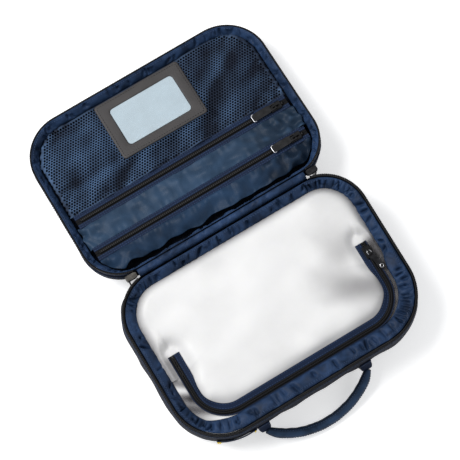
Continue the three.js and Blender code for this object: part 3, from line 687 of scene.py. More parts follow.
def knitted(name, thin, lit_yarn):
    """Mesh yarn: its colour follows a layer of painted light and shade, with fuzz along the yarn."""
    yarn = Shader(name, lit_yarn, 0.7, Specular_IOR_Level=0.25)
    fuzz = yarn.noise(500, 3)
    # Painted light and shade: the ramp runs from the yarn in shade to the yarn in light, led by the
    # layer.
    dye = yarn.mixed("ADD", yarn.layer("painted_light_and_tone"), yarn.spread(fuzz, -0.25, 0.25))
    colours = yarn.ramp(dye, (0.0, thin), (1.0, lit_yarn))
    return yarn.finished(colours, yarn.spread(fuzz, 0.6, 0.8), fuzz, 0.5, 0.05)


def clear_film(name, thin, colour, roughness):
    """Soft film, milky where its opacity is high, with broad highlights and faint handling marks."""
    film = Shader(
        name, colour, roughness, IOR=1.45, Specular_IOR_Level=0.4,
        Subsurface_Weight=0.1, Subsurface_Radius=(0.01, 0.01, 0.012),
    )
    marks = film.noise(16, 7)
    cloud = film.mixed("ADD", film.layer("opacity"), film.spread(marks, -0.15, 0.15))
    film.feed("Alpha", film.mixed("MINIMUM", cloud, 1.0))
    # Painted shade: where the opacity layer is low the film turns grey as well as clear.
    colours = film.ramp(cloud, (0.25, thin), (0.95, colour))
    rough = film.spread(marks, roughness - 0.08, roughness + 0.1)
    return film.finished(colours, rough, film.noise(45, 4), 0.2, 0.8)


def window_film(name, colour, opacity):
    """Thin stiff film over the card window."""
    film = Shader(name, colour, 0.25, IOR=1.48, Coat_Weight=0.3)
    marks = film.noise(40, 4)
    film.feed("Alpha", film.spread(marks, opacity * 0.7, opacity * 1.3))
    return film.finished((*colour, 1), film.spread(marks, 0.2, 0.32), marks, 0.1, 0.4)


MATERIALS = {
    "outer": woven("outer_fabric", (0.0085, 0.0160, 0.0400), 0.7, 0.8),
    "lining": satin("lining_fabric", (0.0155, 0.0335, 0.0780), 0.42, 85, 0.9),
    # One satin for band and lower panel: lighter on the band (painted light), darker below (painted
    # shade).
    "panel": satin("panel_fabric", (0.0240, 0.0480, 0.0880), 0.38, 30, 0.7),
    "lower_panel": satin("lower_panel_fabric", (0.0125, 0.0290, 0.0600), 0.38, 30, 0.9),
    # The handle: the outer fabric lighter, as a painted highlight; its shadow layer shades its flanks.
    "handle": satin("handle_fabric", (0.0170, 0.0340, 0.0680), 0.45, 60, 0.8),
    # The walls: the outer fabric in a darker colour, as painted shade.
    "wall": woven("shaded_wall_fabric", (0.0048, 0.0080, 0.0185), 0.7, 0.8, 0.2, 0.35),
    # The lid's back lining: the lining fabric near black, as painted shade under the pockets and mesh.
    "dark_lining": woven("back_lining", (0.0032, 0.0055, 0.0130), 0.5, 0.9),
    "tape": woven("zip_tape", (0.0075, 0.0160, 0.0430), 0.5, 0.8, 0.08),
    "black_tape": woven("black_tape", (0.0030, 0.0032, 0.0045), 0.5, 0.8, 0.08),
    "coil": plastic("zip_coil", (0.0034, 0.0032, 0.0036), 0.5, 700, Specular_IOR_Level=0.2),
    "mesh": knitted("mesh_fabric", (0.0075, 0.0130, 0.0280), (0.0600, 0.1150, 0.2180)),
    "film": clear_film("clear_film", (0.30, 0.29, 0.30), (0.805, 0.80, 0.795), 0.42),
    # The pouch's walls and floor: the same film in a darker taupe, as painted shade.
    "film_wall": clear_film("film_wall", (0.19, 0.185, 0.185), (0.285, 0.265, 0.245), 0.35),
    "leather": leatherette("leatherette", (0.036, 0.0325, 0.0325)),
    "window": window_film("window_film", (0.75, 0.84, 0.9), 0.16),
    "backing": plastic("window_backing", (0.375, 0.465, 0.515), 0.5, 60, 0.07),
    "black_metal": metal("black_metal", (0.008, 0.008, 0.009), 0.34, 0.5),
    "grey_metal": metal("grey_metal", (0.105, 0.098, 0.088), 0.30, 0.9),
    "dark_metal": metal("dark_metal", (0.035, 0.035, 0.038), 0.30, 0.9),
    "bright_metal": metal("bright_metal", (0.62, 0.62, 0.64), 0.25, 0.9),
    "thread": woven("navy_thread", (0.036, 0.066, 0.140), 0.3, 0.7, 0.03),
    "frame_thread": woven("frame_thread", (0.010, 0.009, 0.010), 0.3, 0.6, 0.03),
    "yellow": woven("yellow_thread", (0.95, 0.62, 0.06), 0.3, 0.6, 0.03, sheen=0.2),
    "floor": Shader(
        "floor_paper", (0.9, 0.9, 0.9), 0.9,
        Emission_Color=(1, 1, 1, 1), Emission_Strength=FLOOR_GLOW,
    ).material,
}


# ---------------- repeated details

def rounded_section(inner, outer, low, high, squareness=0.55, points=12):
    """A soft-cornered section between two outward distances and two heights."""
    angles = 2 * math.pi * (np.arange(points) + 0.5) / points
    across, up = np.cos(angles), np.sin(angles)
    out = (inner + outer) / 2 + (outer - inner) / 2 * np.sign(across) * np.abs(across) ** squareness
    height = (low + high) / 2 + (high - low) / 2 * np.sign(up) * np.abs(up) ** squareness
    return np.stack([out, height], 1)


def coil(name, run, inner, outer, low, high):
    """Nylon zip coil: a rounded strip with one rib for each turn."""
    rib = np.sqrt(np.abs(np.sin(math.pi * lengths_along(run) / COIL_PITCH)))[:, None]
    section = rounded_section(inner, outer, low, high, 0.7, 8)
    middle = (inner + outer) / 2
    out = middle + (section[:, 0] - middle) * (0.84 + 0.16 * rib)
    height = low + (section[:, 1] - low) * (0.62 + 0.38 * rib)
    return loft(name, swept(run, np.stack([out, height], -1)), "coil")


def stitch_rows(name, rows, up=UP, material="thread", pitch=STITCH["pitch"], radius=STITCH["radius"]):
    """Raised stitches along rows of points."""
    places = (STITCH_RINGS * STITCH["length"])[:, None, None]
    fat = (STITCH_SWELL * radius)[:, None, None]
    angles = (2 * math.pi * np.arange(STITCH_SIDES) / STITCH_SIDES)[:, None]
    points = []
    for row in rows:
        row = np.asarray(row, float)
        reached = distances(row)
        wanted = np.arange(pitch / 2, reached[-1], pitch)
        along = line_at(wanted + 0.5, reached, row) - line_at(wanted - 0.5, reached, row)
        along /= np.maximum(np.linalg.norm(along, axis=1, keepdims=True), 1e-9)
        side = unit(np.cross(along, np.asarray(up, float)))
        lift = np.cross(side, along)
        middle, along, side, lift = (
            part[:, None, None] for part in (line_at(wanted, reached, row), along, side, lift)
        )
        outwards = side * np.cos(angles) + lift * np.sin(angles)
        points.append((middle + along * places + fat * outwards).reshape(-1, 3))
    points = np.vstack(points)
    skin = np.array(grid_faces(len(STITCH_RINGS), STITCH_SIDES, False, True))
    size = len(STITCH_RINGS) * STITCH_SIDES
    faces = []
    for start in range(0, len(points), size):
        faces.extend(map(tuple, (skin + start).tolist()))
        faces.append(tuple(reversed(range(start, start + STITCH_SIDES))))
        faces.append(tuple(range(start + size - STITCH_SIDES, start + size)))
    obj = add_mesh(name, points, faces, material)
    turn_outwards(obj)
    return obj


def sewn(name, body, rows, **options):
    """Stitches on one body."""
    finish(stitch_rows(name, rows, **options), body)


def tape_strip(name, run, inner, split, outer, low, bends=None):
    """Zip tape: black next to the coil, and under a folded navy edge beyond the split."""
    top = low + TAPE_THICKNESS
    knee = split + TAPE_KNEE * (outer - split)
    section = np.array([
        (inner, low), (split, low), (knee, low), (outer, low), (outer, top + TAPE_FOLD * 0.6),
        (knee, top + TAPE_FOLD), (split, top + TAPE_FOLD * 0.8), (split, top), (inner, top),
    ])
    sections = section if bends is None else bent_up(section, knee, low, *bends)
    obj = loft(name, swept(run, sections), "tape", "black_tape", smooth=False)
    size = len(section)
    for polygon in obj.data.polygons[: size * (len(run) - 1)]:
        polygon.material_index = int(polygon.index % size in (0, 7, 8))
    return obj


def turned(sections, out, level, angles):
    """Sections turned about one point of [outward, height] so that their inner side rises."""
    across, height = sections[..., 0] - out, sections[..., 1] - level
    angles = np.asarray(angles)[:, None]
    return np.stack([
        out + across * np.cos(angles) + height * np.sin(angles),
        level + height * np.cos(angles) - across * np.sin(angles),
    ], -1)


def bent_up(section, knee, level, root, edge):
    """Copies of a section, bent by one angle at the zip's line and by a second one at the knee."""
    beyond = (np.abs(section[:, 0]) > abs(knee) + 0.01)[None, :, None]
    sections = np.where(beyond, turned(section, knee, level, edge - root), section)
    return turned(sections, 0.0, level, root)


def tube(name, line, side, up, radius, turns, material, flatness=1.0, wrap=False):
    """A round solid along a line; the radius may differ from ring to ring and round each ring."""
    across, high = radius * np.cos(turns), radius * np.sin(turns) * flatness
    rings = line[:, None] + side[:, None] * across[..., None] + up * high[..., None]
    return loft(name, rings, material, wrap=wrap)


# ---------------- walls and padded panels

def padded_wall(body, run, outside, inside, buckles, top, depth):
    """A foam-backed wall. Its outside buckles between its top and a depth below it."""
    sections = np.tile(np.array(outside + inside), (len(run), 1, 1))
    height = sections[:, :len(outside), 1]
    slack = np.sin(np.clip((top - height) / depth, 0, 1) * math.pi)
    sections[:, :len(outside), 0] += buckles(run[:, 0:1], run[:, 1:2], height) * slack
    # Painted shade: the walls take the darker copy of the outer fabric.
    wall = loft(f"{body}_wall_padded", swept(run, sections), "wall", wrap=True)
    finish(wall, body, "outer_fabric", f"{body}_wall")


def padded_slab(name, body, run, node, inset, low, depth):
    """A foam panel filling an outline: flat where it rests, rounded at its edge."""
    middle = np.array([0.0, run[:, 1].mean()])
    edge = run[:, :2] - run[:, 2:4] * inset
    soft = run[:, :2] - run[:, 2:4] * (inset + SLAB_SOFT_EDGE)
    profile = [(share, 1.0, soft) for share in SLAB_RINGS]
    profile += [(1.0, 0.92, edge), (1.0, 0.08, edge)]
    profile += [(share, 0.0, soft) for share in reversed(SLAB_RINGS)]
    rings = []
    for share, level, outline in profile:
        rings.append(raised(middle + (outline - middle) * share, low + depth * level))
    slab = finish(loft(name, np.array(rings), "outer"), body, "outer_fabric", node)


def base_buckles(x, y, height):
    return field(x + y, height * 1.6, 42, 3) * 0.4 + field(x - y, height * 2, 17, 4) * 0.15


def lid_buckles(x, v, height):
    return field(x + v, height * 1.5, 38, 71) * 0.4 - 0.2


def build_base_shell():
    """The base's wall and bottom, and the seams round them."""
    run = rim_run(BASE, WALL_STEP)
    padded_wall("base", run, BASE_WALL_OUTSIDE, BASE_WALL_INSIDE, base_buckles, **BASE_SLACK)
    outline = rim_run(BASE, SLAB_STEP)
    padded_slab("base_bottom_padded", "base", outline, "base_bottom", **BOTTOM_SLAB)
    sewn("base_seam_stitches", "base", [row_at(closed_run(run), *seam) for seam in BASE_SEAMS])


def build_main_zip():
    """The open main zip: one tape and one coil half on each rim."""
    for body, half in (("base", BASE), ("lid", LID)):
        fine, coarse = zip_run(half, COIL_STEP), zip_run(half, TAPE_STEP)
        if body == "lid":
            fine, coarse = as_lid(fine), as_lid(coarse)
        half_coil = coil(f"{body}_coil", fine, *MAIN_COILS[body])
        finish(half_coil, body, "zip_coil", f"{body}_zip_coil")
        tape = loft(f"{body}_tape", swept(coarse, rounded_section(*MAIN_TAPES[body])), "tape")
        finish(tape, body, "zip_tape", f"{body}_zip_tape")


# ---------------- gathered linings

def gathered(run, top, bottom, puff, seed, rows=15):
    """A loose band between two lines of [outward, height], with a few sharp creases across it."""
    distance = lengths_along(closed_run(run))
    total, distance = distance[-1], distance[:-1]
    share = np.linspace(0, 1, rows)
    slope = unit(bottom - top)
    normal = np.stack([slope[:, 1], -slope[:, 0]], 1)
    swell = 0.75 + 0.35 * waves_along(distance, total, 24, seed)
    bend = np.clip(np.abs(run[:, 2] * run[:, 3]) * 2.2, 0, 1)
    creases = creases_across(distance, total, share, 8.5, seed + 1)
    tight = creases_across(distance, total, share, 6.5, seed + 2) * bend[:, None]
    arch = np.sin(math.pi * share)
    depth = puff * arch**0.75 * (swell[:, None] - 2.8 * np.maximum(creases, tight))
    lean = waves_along(distance, total, 30, seed + 3)[:, None] * arch * 0.8
    sections = top[:, None] + (bottom - top)[:, None] * share[:, None]
    sections += normal[:, None] * depth[..., None]
    sideways = np.stack([-run[:, 3], run[:, 2], np.zeros(len(run))], 1)
    return swept(run, sections) + sideways[:, None] * lean[..., None]


def line_round(run, hinge, side, far):
    """A line of [outward, height] that turns from its hinge value over the sides to its far one."""
    hinge_share = smooth_step(run[:, 3], 0.6, 0.98)[:, None]
    far_share = smooth_step(-run[:, 3], 0.6, 0.98)[:, None]
    side_share = 1 - hinge_share - far_share
    return np.array(hinge) * hinge_share + np.array(far) * far_share + np.array(side) * side_share


def lining_band(body, cloth, hem_rows):
    """The gathered band inside a half's rim and the stitches of its hem."""
    band = sheet_from(f"{body}_lining_band", cloth, "lining", wrap=True)
    finish(band, body, "lining_fabric", f"{body}_lining")
    rows = [closed_run(cloth[:, row] + [0, 0, 0.3]) for row in hem_rows]
    sewn(f"{body}_lining_stitches", body, rows)


def build_linings():
    """The gathered bands of both halves; the base's reaches further in at its right front."""
    run = rim_run(BASE, LINING_STEP)
    top = line_round(run, *BASE_LINING_SEAM)
    bottom = line_round(run, *BASE_LINING_EDGE)
    right_front = smooth_step(run[:, 0], 60, 120) * smooth_step(-run[:, 1], 5, 30)
    bottom += right_front[:, None] * (np.array(BASE_LINING_CORNER) - bottom)
    lining_band("base", gathered(run, top, bottom, 2.3, 11), (2, 3))
    run = as_lid(rim_run(LID, LINING_STEP))
    flipped = run * [1, 1, 1, -1]
    top, bottom = line_round(flipped, *LID_LINING_SEAM), line_round(flipped, *LID_LINING_EDGE)
    lining_band("lid", gathered(run, top, bottom, 1.6, 31), (3,))


# ---------------- hinge strip

def build_hinge_strip():
    """One strip of fabric from inside the base's rear wall, over the fold, into the lid."""
    length = 2 * STRIP_HALF_LENGTH
    along = np.linspace(0, length, 240)
    rows = [*STRIP_BASE_SIDE, (HINGE_Y, STRIP_FOLD_Z)]
    for v, w in STRIP_LID_SIDE:
        rows.append((
            HINGE_Y + v * math.cos(LID_TILT) + w * math.sin(LID_TILT),
            STRIP_LID_Z - v * math.sin(LID_TILT) + w * math.cos(LID_TILT),
        ))
    grid = np.array([[(x, y, z) for x in along - STRIP_HALF_LENGTH] for y, z in rows])
    last = len(rows) - 1
    loose = np.interp(np.arange(len(rows)), [0, 4, 6, 8, last], [0, 1.0, 0.3, 1.0, 0])
    creases = creases_across(along, length, np.linspace(0, 1, len(rows)), 9.0, 52).T
    grid[..., 2] += loose[:, None] * (0.5 * waves_along(along, length, 15, 51) - 1.6 * creases)
    strip = sheet_from("hinge_strip", grid, "lining", 0.7)
    nodes = ("hinge_strip_base", "hinge_strip_lid")
    finish_bent(strip, "base", "lid", STRIP_BEND, "lining_fabric", *nodes)


# ---------------- clear pouch

def tape_angles(run):
    """How the pouch's inner tape stands up along its run: its angles at the coil and at its edge."""
    frontal = smooth_step(-run[:, 3], 0.1, 0.9)
    root = TAPE_RISE["corner"] * (1 - frontal) + TAPE_RISE["front"] * frontal
    edge = TAPE_RISE["side"] * (1 - frontal) + TAPE_RISE["front"] * frontal
    return root * smooth_step(-run[:, 1], 38, 52), edge * smooth_step(-run[:, 1], 12, 32)


def nearest(points, places):
    """The index of and the distance to the place nearest to each point."""
    tree = KDTree(len(places))
    for index, place in enumerate(places):
        tree.insert((*place, 0), index)
    tree.balance()
    found = [tree.find((x, y, 0))[1:] for x, y in points]
    return np.array([index for index, _ in found]), np.array([away for _, away in found])


def pouch_outline(step):
    """The pouch's seam line as a run."""
    run = rim_run(BASE, step)
    run[:, :2] -= run[:, 2:4] * POUCH_INSET
    return run


def film_level(points):
    """Height of the puffed top film: held down by its seam and by the zip's tapes."""
    shape, points = points.shape[:-1], points.reshape(-1, 2)
    _, from_seam = nearest(points, pouch_outline(2.0)[:, :2])
    run = pouch_run(POUCH_ZIP["back_end"] + 2, 2.0)
    index, from_zip = nearest(points, run[:, :2])
    root, edge = (angles[index] for angles in tape_angles(run))
    outward = np.einsum("ij,ij->i", points - run[index, :2], run[index, 2:4]) > 0
    knee = np.where(outward, FILM_NEAR_ZIP, POUCH_KNEE * np.cos(root))
    free_from = knee + np.where(outward, 0, (POUCH_TAPE - POUCH_KNEE) * np.cos(edge) + 0.4)
    under_tape = (
        TAPE_Z - FILM_UNDER_TAPE + np.tan(root) * np.minimum(from_zip, knee)
        + np.tan(edge) * np.clip(from_zip - knee, 0, free_from - knee)
        + FILM_SLOPES["tape"] * np.maximum(0, from_zip - free_from)
    )
    over_seam = 0.3 + FILM_SLOPES["seam"] * from_seam
    height = np.maximum(0, np.minimum(over_seam, under_tape - POUCH_SEAM_Z))
    puff = height / (1 + (height / FILM_CREST) ** 4) ** 0.25
    x, y = points[:, 0], points[:, 1]
    lumps = waves_over(x, y, FILM_LUMPS) * smooth_step(puff, 2.0, FILM_CREST * 0.9)
    return (POUCH_SEAM_Z + puff + lumps).reshape(shape)


def rim_opacity(x, streaks):
    """The film outside the zip is cloudy and streaked on the left and nearly clear on the right."""
    left = 1 - smooth_step(x, -70, 20)
    return 0.14 + 0.36 * left + (0.02 + 0.26 * left) * streaks


def build_pouch_top():
    """The puffed film inside the zip and behind the flap's fold."""
    seam = pouch_outline(FILM_STEP)[:, :2]
    rear = seam[seam[:, 1] > FOLD_Y]
    rear = rear[np.argsort(np.arctan2(rear[:, 1] - FOLD_Y + 1e-3, rear[:, 0]))]
    front = row_at(pouch_run(FOLD_Y, FILM_STEP), -2.6, 0)[:, :2]
    fold = np.column_stack([np.linspace(front[-1, 0], rear[0, 0], 12), np.full(12, FOLD_Y)])[1:-1]
    outline = np.vstack([rear, fold[::-1] * [-1, 1], front, fold])
    shares = np.maximum(1 - (1 - np.linspace(0, 1, FILM_RINGS)) ** 1.35, 0.02)
    plan = FILM_MIDDLE + (outline - FILM_MIDDLE)[:, None] * shares[:, None]
    grid = raised(plan, film_level(plan))
    top = sheet_from("pouch_film_top", grid, "film", wrap=True, closed_at="first")
    x, y = grid[..., 0], grid[..., 1]
    inward = (1 - shares) * np.linalg.norm(outline - FILM_MIDDLE, axis=1, keepdims=True)
    seam_shadow = 0.45 * np.exp(-inward / 3) + 0.2 * np.exp(-inward / 14)
    # Painted shade: on a patch at the right the film is made clearer and painted grey in mottled
    # blots, as the shade of its wrinkles.
    thin = bell(x - SHADED_FILM_PATCH["x"], SHADED_FILM_PATCH["half_length"])
    thin *= bell(y - SHADED_FILM_PATCH["y"], SHADED_FILM_PATCH["half_width"])
    mottle_and_shade = thin * smooth_step(field(x + y, x - y, 60, 12, stretch=2), -1.4, 0.8)
    beside_zip = smooth_step(np.abs(x), 109, 113) * (1 - smooth_step(y, 2, 14))
    inside = (1.0 - seam_shadow - 0.5 * mottle_and_shade) * (1 - beside_zip)
    set_layer(top, "opacity", inside + rim_opacity(x, 0) * beside_zip)
    finish_bent(top, "base", "pouch_flap", FILM_BEND, "clear_film", "pouch_top", "pouch_flap")


def rim_front(run):
    """The part of a closed run in front of the flap's fold, from its left end to its right end."""
    front = run[run[:, 1] <= FOLD_Y]
    start = int(np.argmin(front[:, 0] + (front[:, 1] < FOLD_Y - 3) * 1e3))
    return np.roll(front, -start, axis=0)


def build_pouch_rim():
    """The narrow part of the top film that stays outside the zip."""
    inner = pouch_run(FOLD_Y + 3, 1.2)
    outer = resampled(rim_front(pouch_outline(1.0)), 1.0, False)
    inner_reach, outer_reach = lengths_along(inner), lengths_along(outer)
    inner_line = row_at(inner, 1.4, 0)[:, None, :2]
    shares_along = inner_reach / inner_reach[-1]
    outer_line = line_at(shares_along, outer_reach / outer_reach[-1], outer[:, :2])[:, None]
    share = np.linspace(0, 1, 11)[:, None]
    plan = inner_line * (1 - share) + outer_line * share
    x, y = plan[..., 0], plan[..., 1]
    streaks = field(x * 0.8 + y, x - y * 0.2, 12, 9, stretch=5)
    bulge = np.sin(math.pi * share[:, 0]) * (0.5 + 0.35 * streaks)
    rim = sheet_from("pouch_film_rim", raised(plan, POUCH_SEAM_Z + 0.2 + bulge), "film")
    set_layer(rim, "opacity", rim_opacity(x, streaks))
    finish(rim, "base", "clear_film")


def build_pouch_walls():
    """The pouch's soft walls and its floor."""
    run = pouch_outline(2.4)
    rings = [row_at(run, *place) for place in POUCH_WALL]
    for share in POUCH_FLOOR_RINGS:
        plan = (run[:, :2] - run[:, 2:4] * 4) * share
        slack = np.abs(field(plan[:, 0], plan[:, 1] * 1.6, 44, 12)) ** 1.5
        rings.append(raised(plan, POUCH_FLOOR_Z + 2.4 * slack))
    grid = np.swapaxes(np.array(rings), 0, 1).copy()
    walls = grid[:, :len(POUCH_WALL)]
    dent = np.abs(field(walls[..., 0] + walls[..., 2], walls[..., 1], 30, 10)) * POUCH_WALL_SLACK
    walls[..., :2] -= run[:, None, 2:4] * dent[..., None] * 1.2
    body = sheet_from("pouch_film_body", grid, "film_wall", wrap=True, closed_at="last")
    cloud = field(grid[..., 0], grid[..., 1], 38, 11, stretch=2)
    set_layer(body, "opacity", 0.46 + 0.16 * smooth_step(grid[..., 2], 6, 34) + 0.12 * cloud)
    finish(body, "base", "clear_film", "pouch_body")


def build_pouch_zip():
    """The three-sided zip: its outer half stays on the case; its inner half, which lifts with the
    flap, is left where it is drawn.
    """
    end = POUCH_ZIP["back_end"]
    coarse, fine = pouch_run(end, 2.2), pouch_run(end - 1.5, COIL_STEP)
    flap = ("base", "pouch_flap", ZIP_BEND)
    bends = tape_angles(coarse)
    outer = tape_strip("pouch_tape_outer_band", coarse, *POUCH_OUTER_TAPE, TAPE_Z)
    finish(outer, "base", "zip_tape", "pouch_tape_outer")
    edges = (-0.15, -POUCH_TAPE_SPLIT, -POUCH_TAPE)
    inner = tape_strip("pouch_tape_inner_band", coarse, *edges, TAPE_Z, bends)
    finish_bent(inner, *flap, "zip_tape", "pouch_tape_inner")
    half = coil("pouch_coil_outer_half", fine, 0.1, 1.8, *POUCH_COIL)
    finish(half, "base", "zip_coil", "pouch_coil_outer")
    half = coil("pouch_coil_inner_half", fine, -1.8, -0.1, *POUCH_COIL)
    finish_bent(half, *flap, "zip_coil", "pouch_coil_inner")
    rows = []
    for out in POUCH_STITCHES:
        sections = bent_up(np.array([(out, TAPE_Z + 0.95)]), -POUCH_KNEE, TAPE_Z, *bends)
        rows.append(swept(coarse, sections)[:, 0])
    finish_bent(stitch_rows("pouch_tape_inner_stitches", rows), *flap)


# ---------------- handle and label

def smooth_line(points, count):
    """A Catmull-Rom line through points."""
    points = np.asarray(points, float)
    padded = np.vstack([2 * points[0] - points[1], points, 2 * points[-1] - points[-2]])
    places = np.linspace(0, len(points) - 1, count)
    index = np.minimum(places.astype(int), len(points) - 2)
    t = (places - index)[:, None]
    a, b, c, d = (padded[index + k] for k in range(4))
    bend, twist = 2 * a - 5 * b + 4 * c - d, 3 * b - a - 3 * c + d
    return 0.5 * (2 * b + (c - a) * t + bend * t**2 + twist * t**3)


def build_handle():
    """A padded loop with a sewn seam, drooping to the table, and its two sewn ends."""
    droop = math.asin((HANDLE["z"] - HANDLE["radius"]) / HANDLE["reach"])
    arch = smooth_line(HANDLE_ARCH, HANDLE_RINGS)
    out = arch[:, 1] * HANDLE["reach"]
    centre = np.stack([
        HANDLE["x"] + arch[:, 0] * HANDLE["half_span"],
        HANDLE["pivot_y"] - out * math.cos(droop),
        HANDLE["z"] - out * math.sin(droop),
    ], 1)
    up = np.array([0, -math.sin(droop), math.cos(droop)])
    side = unit(np.cross(unit(np.gradient(centre, axis=0)), up))
    share = np.linspace(0, 1, len(centre))
    thinner = HANDLE_THIN_ENDS * (bell(share, 0.05) + bell(1 - share, 0.05))
    full = HANDLE["radius"] * (1 - thinner)[:, None]
    creases = 0.12 * waves_along(share * 160, 160, 9, 61)
    turns = 2 * math.pi * np.arange(HANDLE_SIDES) / HANDLE_SIDES
    seam = 1 - 0.10 * bell(turns - math.pi * 1.5, 0.22)
    radius = full * seam + creases[:, None] * np.abs(np.cos(turns))
    grip = tube("handle_padded", centre, side, up, radius, turns, "handle", HANDLE_FLATNESS)
    set_layer(grip, "shadow", 0.45 * np.abs(np.cos(turns)) ** 3 * np.ones_like(radius) - 0.06)
    finish_bent(grip, "base", "handle", HANDLE_BEND, "outer_fabric", "handle_grip")
    rows = [(centre + (side * across + up * 0.60) * full)[6:-6] for across in (0.80, -0.80)]
    finish_bent(stitch_rows("handle_stitches", rows, up), "base", "handle", HANDLE_BEND)
    handle_end("left", HANDLE["x"] - HANDLE["half_span"])
    handle_end("right", HANDLE["x"] + HANDLE["half_span"])


def handle_end(name, x):
    """A folded fabric tab on the wall, wrapped round the handle's end."""
    u, v = grid_of((-1, 1, 15), (-1, 1, 25))
    knuckle = bell(v, 0.42) * (1 - 0.25 * u**4)
    out = 0.9 + knuckle * TAB["knuckle"] * np.clip(1.15 - np.abs(u) ** 6 * 0.5, 0, 1)
    across, height = x + u * TAB["half_width"], HANDLE["z"] + v * TAB["half_height"]
    front = np.stack([across, TAB["y"] - out, height], -1)
    back = np.stack([across, np.full_like(out, TAB["y"]), height], -1)
    tab = loft(f"handle_tab_{name}_cloth", np.concatenate([front, back[:, ::-1]], 1), "outer")
    finish(tab, "base", "outer_fabric", f"handle_tab_{name}")
    y = TAB["y"] - TAB_SEAM["out"]
    half, diagonal = TAB_SEAM["half_length"], TAB_SEAM["half_diagonal"]
    rows = []
    for sign in (-1, 1):
        low, high = (HANDLE["z"] + sign * TAB_SEAM[side] for side in ("low", "high"))
        for reach, start, end in ((half, low, low), (half, high, high), (diagonal, low, high)):
            rows.append([(x - reach, y, start), (x + reach, y, end)])
    pitch = TAB["stitch_pitch"]
    sewn(f"handle_tab_{name}_stitches", "base", rows, up=(0, -1, 0), pitch=pitch)


def corner_stretch(from_x, to_x, count):
    """Part of the front left corner of the base between two x positions."""
    length, width, _, radius = BASE
    x = np.linspace(from_x, to_x, count)
    angle = math.radians(270) - np.arcsin(np.clip(radius - length - x, 0, None) / radius)
    across, along = np.cos(angle), np.sin(angle)
    return np.stack([x, radius - width + along * radius, across, along], 1)


def build_label():
    """A small woven tag on the front wall with a bar of yellow thread at each end."""
    run = corner_stretch(LABEL["start_x"], LABEL["end_x"], 40)
    heights = np.linspace(LABEL["low"], LABEL["high"], 15)
    out = LABEL["out"] + LABEL["swell"] * np.sin(math.pi * np.linspace(0, 1, len(heights)))
    label = sheet_from("front_label_cloth", swept(run, np.stack([out, heights], 1)), "tape", 0.7)
    finish(label, "base", "zip_tape", "front_label")
    levels = np.arange(LABEL["low"] + 1.0, LABEL["high"] + 0.4, 0.7)
    for side, x in (("right", LABEL["start_x"] - 1.2), ("left", LABEL["end_x"] + 3.6)):
        rows = [row_at(corner_stretch(x, x - 2.4, 4), 4.5, level) for level in levels]
        bar = stitch_rows(f"label_bar_{side}", rows, material="yellow", **YELLOW_STITCH)
        finish(bar, "base", "yellow_thread", f"label_bartack_{side}")


# ---------------- lid

def build_lid_shell():
    """The lid's wall, its back and the lining on it, and the seams round them."""
    run = as_lid(rim_run(LID, WALL_STEP))
    padded_wall("lid", run, LID_WALL_OUTSIDE, LID_WALL_INSIDE, lid_buckles, **LID_SLACK)
    outline = as_lid(rim_run(LID, SLAB_STEP))
    padded_slab("lid_back_padded", "lid", outline, "lid_back", **BACK_SLAB)
    sewn("lid_seam_stitches", "lid", [row_at(closed_run(run), *seam) for seam in LID_SEAMS])
    v, u = grid_of((9.0, 182.0, 60), (-1, 1, 80))
    x = u * lid_extent(v, 5.0)
    w = BACK_LINING_W + waves_over(x, v, BACK_LINING_WAVES)
    # Painted shade: the back lining is drawn near black.
    lining = sheet_from("lid_back_lining_cloth", np.stack([x, v, w], -1), "dark_lining", 0.5)
    finish(lining, "lid", "lining_fabric", "lid_back_lining")


def pocket_panel(name, from_v, to_v, seed, node, material, lean=0.0):
    """A satin panel between two seams, puckered beside both and crumpled at its ends.

    Leaning makes its first edge sink and wander.
    """
    v, u = grid_of((from_v, to_v, 34), (-1, 1, 280))
    x = u * (lid_extent(v, PANEL_INSET) + 0.9 * field(u * 5, v, 9, seed + 5))
    share = (v - from_v) / (to_v - from_v)
    arch = np.sin(math.pi * share) ** 0.6
    beside_seam = np.exp(-share / 0.16) + np.exp(-(1 - share) / 0.16)
    pucker = field(x, v, 6, seed, stretch=5) * 0.8 * beside_seam * arch
    billow = arch * (0.9 + 1.1 * field(x, v, 45, seed + 1) + 0.7 * field(x, v, 16, seed + 2))
    folds = field(x, v, 13, seed + 3)
    crumple = np.exp(-(1 - np.abs(u)) / np.where(u > 0, 0.22, 0.1)) * (folds * 2.2 - 1.2)
    sag = lean * (1 - share) ** 2 * (1 + 0.9 * field(x, v, 40, seed + 4))
    wander = (1 - share) ** 3 * (1.6 * field(x, 0 * x, 26, seed + 6)) * (lean > 0)
    w = POCKET_W + 0.5 + billow + pucker + crumple - sag
    panel = sheet_from(name, np.stack([x, v + wander, w], -1), material)
    set_layer(panel, "shadow", smooth_step(u, 0.35, 1) * (0.17 - 0.15 * folds) + 0.02 * (1 + u))
    finish(panel, "lid", "lining_fabric", node)


def pocket_zip(prefix, v):
    """A closed zip across the lid: coil between two tapes with sewn edges."""
    coarse = straight_run(float(lid_extent(v, POCKET_ZIP_INSET)) - 0.5, v, 3.0)
    for side, name in ((-1, "near"), (1, "far")):
        edges = (side * edge for edge in POCKET_TAPE)
        tape = tape_strip(f"{prefix}_tape_{name}", coarse, *edges, POCKET_W)
        finish(tape, "lid", "zip_tape", f"{prefix}_zip_tape_{name}")
    fine = straight_run(POCKET_COIL_REACH, v, COIL_STEP)
    closed_coil = coil(f"{prefix}_coil", fine, -1.8, 1.8, *POCKET_COIL)
    finish(closed_coil, "lid", "zip_coil", f"{prefix}_zip_coil")
    rows = [row_at(coarse, out, POCKET_W + 0.9) for out in POCKET_STITCHES]
    sewn(f"{prefix}_zip_stitches", "lid", rows)


